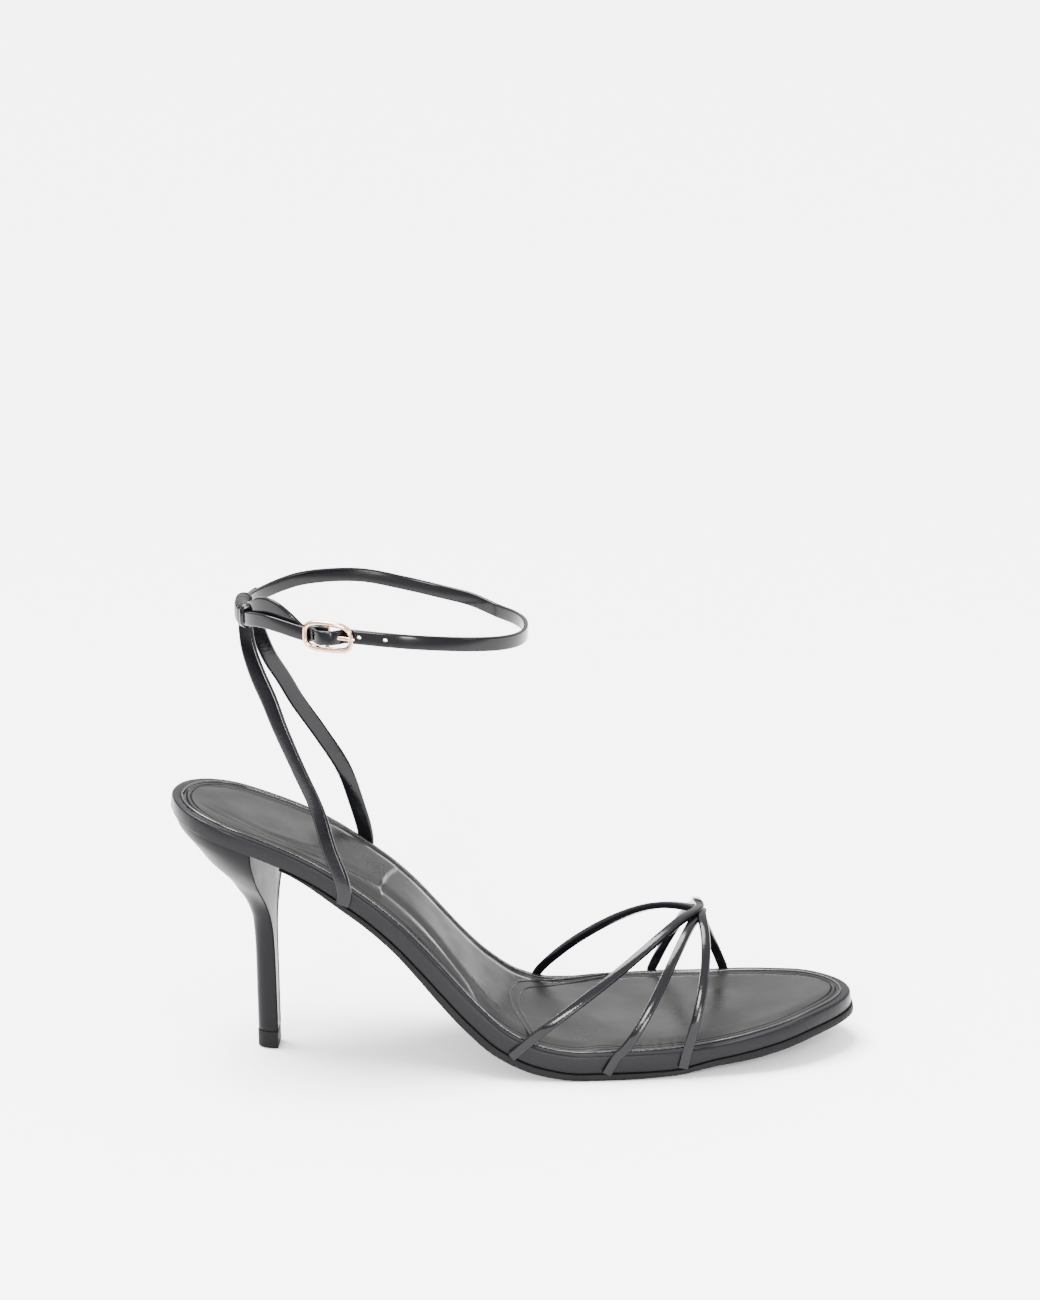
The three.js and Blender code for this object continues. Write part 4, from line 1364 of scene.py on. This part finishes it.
@dataclass
class AnkleLoop:
    """Line of the ankle strap around the leg, and the layers where it laps."""

    height: float = 148.5
    back: float = 25.3
    length: float = 88.0
    width: float = 65.6
    dip: float = 6.6
    power: float = 2.15
    strap_width: float = 4.5
    strap_thickness: float = 1.4
    rows: tuple = (
        (0, 0, 0), (0.05, -0.1, -0.15), (0.12, -0.21, -0.39), (0.22, 0.05, -0.47), (0.35, -0.03, -0.42),
        (0.5, 0.09, -0.07), (0.65, 0.27, 0.33), (0.8, 0.52, 0.65), (0.92, 0.79, 1), (1, 1, 1),
    )

    def _spot(self, angle: float) -> Vector:
        """Place on the loop seen from above, from the middle of its back."""

        def bent(value: float) -> float:
            """Value bent to the loop's squareness."""
            return math.copysign(abs(value) ** (2 / self.power), value)

        return Vector(((1 - bent(math.cos(angle))) * self.length / 2, bent(math.sin(angle)) * self.width / 2))

    def point(self, turn_degrees: float, outwards: float = 0.0, rise: float = 0.0) -> Vector:
        """Point of the loop.

        Args:
            turn_degrees: 0 is the back, -90 the lateral side and 180 the front.
            outwards: Distance outside the loop's own line.
            rise: Distance above it.

        Returns:
            The point.
        """
        angle = math.radians(turn_degrees)
        here = self._spot(angle)
        ahead = (self._spot(angle + 0.02) - self._spot(angle - 0.02)).normalized()
        column = 1 if math.sin(angle) < 0 else 2
        dip = self.dip * read_table(self.rows, here.x / self.length, column)
        return Vector((
            self.back + here.x - ahead.y * outwards,
            here.y + ahead.x * outwards,
            self.height - dip + rise,
        ))

    def pace(self, turn_degrees: float) -> float:
        """Millimetres along the loop for each degree of turn."""
        step = 4
        ends = self.point(turn_degrees + step), self.point(turn_degrees - step)
        return (ends[0] - ends[1]).length / (2 * step)

    def facing(self, point: Vector) -> Vector:
        """Outward direction of the loop at a point."""
        centre, reach = self.back + self.length / 2, self.length / 2

        def pull(value: float, size: float) -> float:
            """Part of the direction along one axis."""
            return math.copysign(abs(value / size) ** (self.power - 1) / size, value)

        return Vector((pull(point.x - centre, reach), pull(point.y, self.width / 2), 0)).normalized()

    @property
    def layer(self) -> float:
        """Distance between the middles of two layers."""
        return self.strap_thickness + CLEARANCE


@dataclass
class BackStraps:
    """Two straps that rise from the waist to a gathered sleeve behind the ankle."""

    lines: FootbedLines
    loop: AnkleLoop
    shift: float
    lateral_width: float = 4.7
    swelling: float = 1.2
    swelling_at: float = 0.74
    swelling_reach: float = 0.17
    medial_width: float = 5.1
    thickness: float = 1.6
    lateral_station: float = 57.8
    medial_station: float = 60.2
    lateral_top: float = 24.9
    medial_top: float = 27.4
    top_aside: float = 1.0
    lateral_apart: float = 1.4
    medial_apart: float = 2.35
    turned_back: float = 0.35
    sleeve_width: float = 17.0
    sleeve_wall: float = 0.9
    sleeve_middle: float = -9.5
    sleeve_end: float = 0.3
    gather_turns: float = 38.0
    rows: tuple = (
        (0.03, 0.05, 0.034), (0.15, 0.165, 0.113), (0.3, 0.282, 0.236), (0.45, 0.464, 0.446),
        (0.6, 0.645, 0.666), (0.7, 0.752, 0.779), (0.8, 0.874, 0.896), (0.9, 0.965, 0.964), (1, 1, 1),
    )

    def build(self) -> None:
        """Builds and dresses both straps and the sleeve."""
        pieces = [
            self._strap("back_strap_lateral", self.lateral_station, Side.LATERAL, self.lateral_apart),
            self._strap("back_strap_medial", self.medial_station, Side.MEDIAL, self.medial_apart),
            self._sleeve(),
        ]
        for piece in pieces:
            complete(piece, self.shift, 60, STRAP_LEATHER)
        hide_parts("back_straps")

    def _strap(self, name: str, station: float, side: Side, apart: float) -> bpy.types.Object:
        """One strap from the band to the sleeve."""
        lines, loop = self.lines, self.loop
        top = loop.point(0, 0, -0.6 * loop.strap_width)
        top.x = self.lateral_top if side is Side.LATERAL else self.medial_top
        aside = side.value * self.top_aside
        points = []
        for share in (0.98, 0.5, 0):
            spot = station + share * 0.25 * lines.band(station)
            out = lines.edge(spot, side) + side.value * (CLEARANCE / 3 + self.thickness / 2)
            points.append(lines.place(spot, out, share * lines.band(station)))
        foot = points.pop()
        for row in self.rows:
            points.append(Vector((
                mix(foot.x, top.x, row[1] if side is Side.LATERAL else row[2]),
                mix(foot.y, aside, row[0] ** apart),
                mix(foot.z, top.z, row[0]),
            )))
        points.append(Vector((top.x, aside, top.z + loop.strap_width / 2)))
        flat = lines.edge_out(station, side)

        def facing(point: Vector, share: float) -> Vector:
            """Outwards of the band below, and outwards of the leg above."""
            sideways = Vector((-self.turned_back, side.value, 0)).normalized()
            return sideways.lerp(flat, 1 - smooth_step(share, 0.15, 0.4))

        def width(share: float) -> float:
            """Width of the strap, which the lateral one gains where it is folded."""
            if side is Side.MEDIAL:
                return self.medial_width
            return self.lateral_width + self.swelling * bell(share, self.swelling_at, self.swelling_reach)

        section = Section(width, lambda _: self.thickness, 0.48, 4)
        return sweep(name, Route(points, facing), section, 70)

    def _sleeve(self) -> bpy.types.Object:
        """Folded sleeve that holds both layers of the ankle strap."""
        loop = self.loop
        inner = -loop.strap_thickness / 2 - CLEARANCE - self.sleeve_wall
        outer = loop.layer + loop.strap_thickness / 2 + CLEARANCE + self.sleeve_wall
        low = -0.5 * loop.strap_width - CLEARANCE - self.sleeve_wall
        high = 0.8 * loop.strap_width + CLEARANCE + self.sleeve_wall
        half = self.sleeve_width / 2 / loop.pace(self.sleeve_middle)
        points = [
            loop.point(self.sleeve_middle + share * half, (inner + outer) / 2, (low + high) / 2)
            for share in (-1, -0.5, 0, 0.5, 1)
        ]

        def gathered(share: float, pinch: float, fold: float) -> float:
            """Share of the full size, drawn in at the middle and at both ends and folded between."""
            end = self.sleeve_end * smooth_step(abs(2 * share - 1), 0.8, 1)
            waves = fold * math.sin(self.gather_turns * share)
            return 1 - pinch * math.sin(math.pi * share) + waves - end

        section = Section(
            lambda share: (high - low) * gathered(share, 0.1, 0.03),
            lambda share: (outer - inner) * gathered(share, 0.12, 0.07), 0.46, 4,
        )
        return sweep("back_sleeve", Route(points, lambda p, _: loop.facing(p)), section, 60)


@dataclass
class AnkleStrap:
    """One long strap around the ankle, woven through its buckle and lapped back into the sleeve."""

    loop: AnkleLoop
    shift: float
    buckle_turn: float = -71.5
    buckle_length: float = 15.8
    buckle_height: float = 9.8
    wire: float = 1.7
    squareness: float = 3.4
    tilt: float = 0.08
    out: float = 1.4
    bar: float = 1.2
    eye_wall: float = 0.8
    prong_width: float = 1.2
    prong_thickness: float = 0.7
    prong_gap: float = 0.2
    spread: float = 0.35
    spread_at: float = 0.07
    spread_reach: float = 0.03
    prong_hole: float = 2.6
    hole: float = 1.25
    hole_spacing: float = 6.6
    weave: tuple = (
        (-1.14, 0), (-0.76, 0), (-0.53, 0.5), (-0.27, 0.95), (0, 1),
        (0.27, 0.95), (0.53, 0.5), (0.76, 0), (1.09, 0), (1.4, 0),
    )
    under_rows: tuple = (
        (-50, -0.76, 0.6), (-42, -0.45, 0.95), (-34, -0.18, 1.05), (-27, 0, 0.8), (-20, 0, 0.55),
        (-9, 0, 0.35), (3, 0, 0.25), (10, 0, 0.2), (20, 0, 0.1), (34, 0, 0),
    )
    over_rows: tuple = (
        (-48, 0.24, 0.1), (-38, 0.7, 0.14), (-29, 1, 0.12), (-20, 1, -0.03), (-9, 1, -0.12),
        (3, 1, -0.15), (9, 1, -0.1), (16, 1, 0), (22, 1, 0.02),
    )

    @property
    def end_along(self) -> float:
        """Half length of the frame's middle line."""
        return (self.buckle_length - self.wire) / 2

    @property
    def bar_out(self) -> float:
        """Distance of the bar outside the loop's line."""
        return self.out - self.wire / 2

    def build(self) -> None:
        """Builds and dresses the strap, the frame with its bar, and the prong."""
        strap = self._strap()
        frame = self._frame()
        prong = self._prong()
        complete(strap, self.shift, 50, STRAP_LEATHER)
        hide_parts("ankle_strap")
        for piece in (*frame, prong):
            complete(piece, self.shift, 60, ROSE_METAL)
        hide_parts("buckle_frame")
        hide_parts("buckle_prong")

    def _beside(self, along: float, outwards: float, rise: float = 0.0) -> Vector:
        """Point beside the buckle's bar: along is towards the front, then outwards and up."""
        return self.loop.point(self.buckle_turn - along / self.loop.pace(self.buckle_turn), outwards, rise)

    def _weave_out(self, along: float) -> float:
        """Distance of the strap's middle outside the loop's line near the buckle."""
        thick = self.loop.strap_thickness
        under = self.out - self.wire / 2 - 1.5 * CLEARANCE - thick / 2
        eye = self.bar / 2 + CLEARANCE + self.eye_wall
        over = self.bar_out + eye + self.loop.layer - thick / 2
        return mix(under, over, read_table(self.weave, along / self.end_along))

    def _layer(self, row: tuple[float, float, float]) -> Vector:
        """Point of a lapped layer from a row of its table."""
        return self.loop.point(row[0], row[1] * self.loop.layer, row[2] * self.loop.strap_width)

    def _strap(self) -> bpy.types.Object:
        """The whole strap, from its eye on the bar to its end past the sleeve."""
        thick = self.loop.strap_thickness
        eye = self.bar / 2 + CLEARANCE + self.eye_wall / 2
        points = [self._beside(0, self.bar_out - eye)]
        under = self._weave_out(-1.2 * self.end_along) - self.loop.layer
        points += [self._beside(-share * self.end_along, under) for share in (0.5, 1, 1.5)]
        points += [self._layer(row) for row in self.under_rows]
        pace = self.loop.pace(self.buckle_turn)
        front = 360 + self.buckle_turn - (self.weave[-1][0] + 1.6) * self.end_along / pace
        points += [self.loop.point(mix(48, front, i / 14)) for i in range(15)]
        for row in reversed(self.weave):
            along = row[0] * self.end_along
            points.append(self._beside(along, self._weave_out(along)))
        points += [self._layer(row) for row in self.over_rows]
        def width(share: float) -> float:
            """Width of the strap, which spreads where it is gathered between the sleeve and the buckle."""
            return self.loop.strap_width * (1 + self.spread * bell(share, self.spread_at, self.spread_reach))

        section = Section(width, lambda _: thick, 0.4, 4)
        piece = sweep("ankle_strap_leather", Route(points, lambda p, _: self.loop.facing(p)), section, 320)
        for place in (-1, 1, 2):
            self._punch(piece, self.prong_hole + place * self.hole_spacing)
        return piece

    def _punch(self, piece: bpy.types.Object, along: float) -> None:
        """Punches a round hole through the strap."""
        middle = self._beside(along, self._weave_out(along))
        out = self.loop.facing(middle)
        bpy.ops.object.select_all(action="DESELECT")
        bpy.ops.mesh.primitive_cylinder_add(
            vertices=24, radius=self.hole / 2, depth=3 * self.loop.strap_thickness, location=middle,
            rotation=out.to_track_quat("Z", "Y").to_euler(),
        )
        punch = bpy.context.object
        choose(piece)
        cut = piece.modifiers.new("punch", "BOOLEAN")
        cut.operation = "DIFFERENCE"
        cut.object = punch
        bpy.ops.object.modifier_apply(modifier=cut.name)
        bpy.data.objects.remove(punch)

    def _frame(self) -> list[bpy.types.Object]:
        """Rounded oblong frame of round wire, and its bar."""
        long, high = self.end_along, (self.buckle_height - self.wire) / 2

        def bent(value: float) -> float:
            """Value bent to the frame's squareness."""
            return math.copysign(abs(value) ** (2 / self.squareness), value)

        points = []
        for i in range(48):
            angle = 2 * math.pi * i / 48
            x, z = long * bent(math.cos(angle)), high * bent(math.sin(angle))
            points.append(self._beside(x, self.out, z - self.tilt * x))
        centre = self._beside(0, self.out)
        route = Route(points, lambda p, _: p - centre, closed=True)
        wire = sweep("buckle_wire", route, cord(self.wire, cells=5), 120)
        ends = [self._beside(0, self.bar_out, side * high) for side in (-1, 0, 1)]
        bar_route = Route(ends, lambda p, _: self.loop.facing(p))
        bar = sweep("buckle_bar", bar_route, cord(self.bar, cells=5), 8)
        return [wire, bar]

    def _prong(self) -> bpy.types.Object:
        """Prong curled round the bar and resting on the frame's front end."""
        ring = self.bar / 2 + self.prong_gap + self.prong_thickness / 2
        points = []
        for angle in (250, 210, 170, 130, 90):
            a = math.radians(angle)
            points.append(self._beside(ring * math.cos(a), self.bar_out + ring * math.sin(a)))
        rest = self.out + self.wire / 2 + self.prong_gap / 2 + self.prong_thickness / 2
        points.append(self._beside(self.end_along / 2, mix(self.bar_out + ring, rest, 0.5)))
        points.append(self._beside(self.end_along, rest))
        points.append(self._beside(self.end_along + 0.7 * self.wire, rest - 0.2))
        bar = self._beside(0, self.bar_out)
        outwards = self.loop.facing(bar)

        def facing(point: Vector, share: float) -> Vector:
            """Away from the bar in the curl, and outwards ahead of it."""
            return (point - bar) * Vector((1, 1, 0)) if share < 0.4 else outwards.copy()

        section = Section(
            lambda share: self.prong_width * (1 - 0.3 * smooth_step(share, 0.8, 1)),
            lambda _: self.prong_thickness, 0.45)
        return sweep("buckle_tongue", Route(points, facing), section, 40)


@dataclass
class Studio:
    """Pale floor, soft light and the camera at the photograph's angle."""

    shift: float
    target_station: float = 111.37
    target_height: float = 135.52
    azimuth: float = 1.995
    elevation: float = 16.238
    distance: float = 0.91103
    lens: float = 80.21
    daylight: float = 14.5
    room: float = 1.7
    floor_reach: float = 0.22
    painted_shade_width: float = 0.25
    day_from: tuple[float, float, float] = (-0.3, 0.1, 1)
    day_softness: float = 36.0
    boxes: tuple = (
        ("front_box", (-0.3, -1.4, 0.6), 0.35, 32.0),
        ("low_box", (0.25, -1.4, 0.12), 0.25, 14.0),
        ("side_box", (1.3, -0.7, 0.7), 0.35, 8.0),
    )

    def build(self) -> None:
        """Builds the floor, the lights and the camera."""
        self._floor()
        self._lights()
        self._camera()

    def _floor(self) -> None:
        """Pale flat floor, its colour darkened out of the picture as painted shade for the light falling off
        there, where the shoe would mirror it too brightly.
        """
        bpy.ops.object.select_all(action="DESELECT")
        bpy.ops.mesh.primitive_plane_add(size=12, location=(0, 0, -0.0002))
        floor = bpy.context.object
        floor.name = "studio_floor"
        material = bpy.data.materials.new("pale floor with painted shade")
        material.use_nodes = True
        tree = material.node_tree
        shader = tree.nodes["Principled BSDF"]
        place, parts = tree.nodes.new("ShaderNodeTexCoord"), tree.nodes.new("ShaderNodeSeparateXYZ")
        # Base colour falls from pale to dark beyond the picture's near edge: painted shade for the light's
        # fall-off, not a darker floor.
        painted_falloff = node_of(tree, "ShaderNodeMapRange", From_Min=-self.floor_reach - self.painted_shade_width,
                       From_Max=-self.floor_reach, To_Min=0.2, To_Max=0.93)
        painted_falloff.interpolation_type = "SMOOTHSTEP"
        tree.links.new(place.outputs["Object"], parts.inputs["Vector"])
        tree.links.new(parts.outputs["Y"], painted_falloff.inputs["Value"])
        tree.links.new(painted_falloff.outputs["Result"], shader.inputs["Base Color"])
        set_sockets(shader, {"Roughness": 0.7, "Specular IOR Level": 0.15})
        floor.data.materials.append(material)

    def _lights(self) -> None:
        """High soft daylight, three boxes that the straps mirror, and the bright room."""
        centre = Vector((0.08, 0, 0.06))
        bpy.ops.object.light_add(type="SUN", location=(0, 0, 2))
        day = bpy.context.object
        day.name = "daylight"
        day.data.energy = self.daylight
        day.data.angle = math.radians(self.day_softness)
        day.rotation_euler = Vector(self.day_from).to_track_quat("Z", "Y").to_euler()
        for name, spot, size, power in self.boxes:
            bpy.ops.object.light_add(type="AREA", location=spot)
            lamp = bpy.context.object
            lamp.name = name
            lamp.data.size = size
            lamp.data.energy = power
            lamp.rotation_euler = (Vector(spot) - centre).to_track_quat("Z", "Y").to_euler()
        world = bpy.data.worlds.new("bright room")
        world.use_nodes = True
        tree = world.node_tree
        set_sockets(tree.nodes["Background"], {"Color": (0.97, 0.975, 0.98, 1)})
        place, parts = tree.nodes.new("ShaderNodeTexCoord"), tree.nodes.new("ShaderNodeSeparateXYZ")
        sky = node_of(tree, "ShaderNodeMapRange", From_Min=0.13, From_Max=0.34, To_Min=0.1 * self.room,
                      To_Max=1.65 * self.room)
        tree.links.new(place.outputs["Generated"], parts.inputs["Vector"])
        tree.links.new(parts.outputs["Z"], sky.inputs["Value"])
        tree.links.new(sky.outputs["Result"], tree.nodes["Background"].inputs["Strength"])
        bpy.context.scene.world = world

    def _camera(self) -> None:
        """Camera at the photograph's place."""
        a, e = math.radians(self.azimuth), math.radians(self.elevation)
        back = Vector((math.sin(a) * math.cos(e), -math.cos(a) * math.cos(e), math.sin(e)))
        data = bpy.data.cameras.new("camera")
        data.sensor_fit = "AUTO"
        data.sensor_width = 36.0
        data.lens = self.lens
        data.clip_start = 0.01
        camera = bpy.data.objects.new("camera", data)
        bpy.context.scene.collection.objects.link(camera)
        target = Vector((self.target_station - self.shift, 0, self.target_height)) * METRES_PER_MM
        camera.location = target + back * self.distance
        camera.rotation_euler = back.to_track_quat("Z", "Y").to_euler()
        bpy.context.scene.camera = camera


def main() -> None:
    """Builds every piece in order."""
    logging.basicConfig(level=logging.INFO, format="%(message)s", stream=sys.stdout)
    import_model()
    lines = FootbedLines()
    shift = Heel.tip_back + Heel.tip_depth / 2
    loop = AnkleLoop()
    for part in (
        Footbed(lines, shift),
        Heel(lines, shift),
        ToeStraps(lines, shift),
        BackStraps(lines, loop, shift),
        AnkleStrap(loop, shift),
        Studio(shift),
    ):
        part.build()


if __name__ == "__main__":
    main()
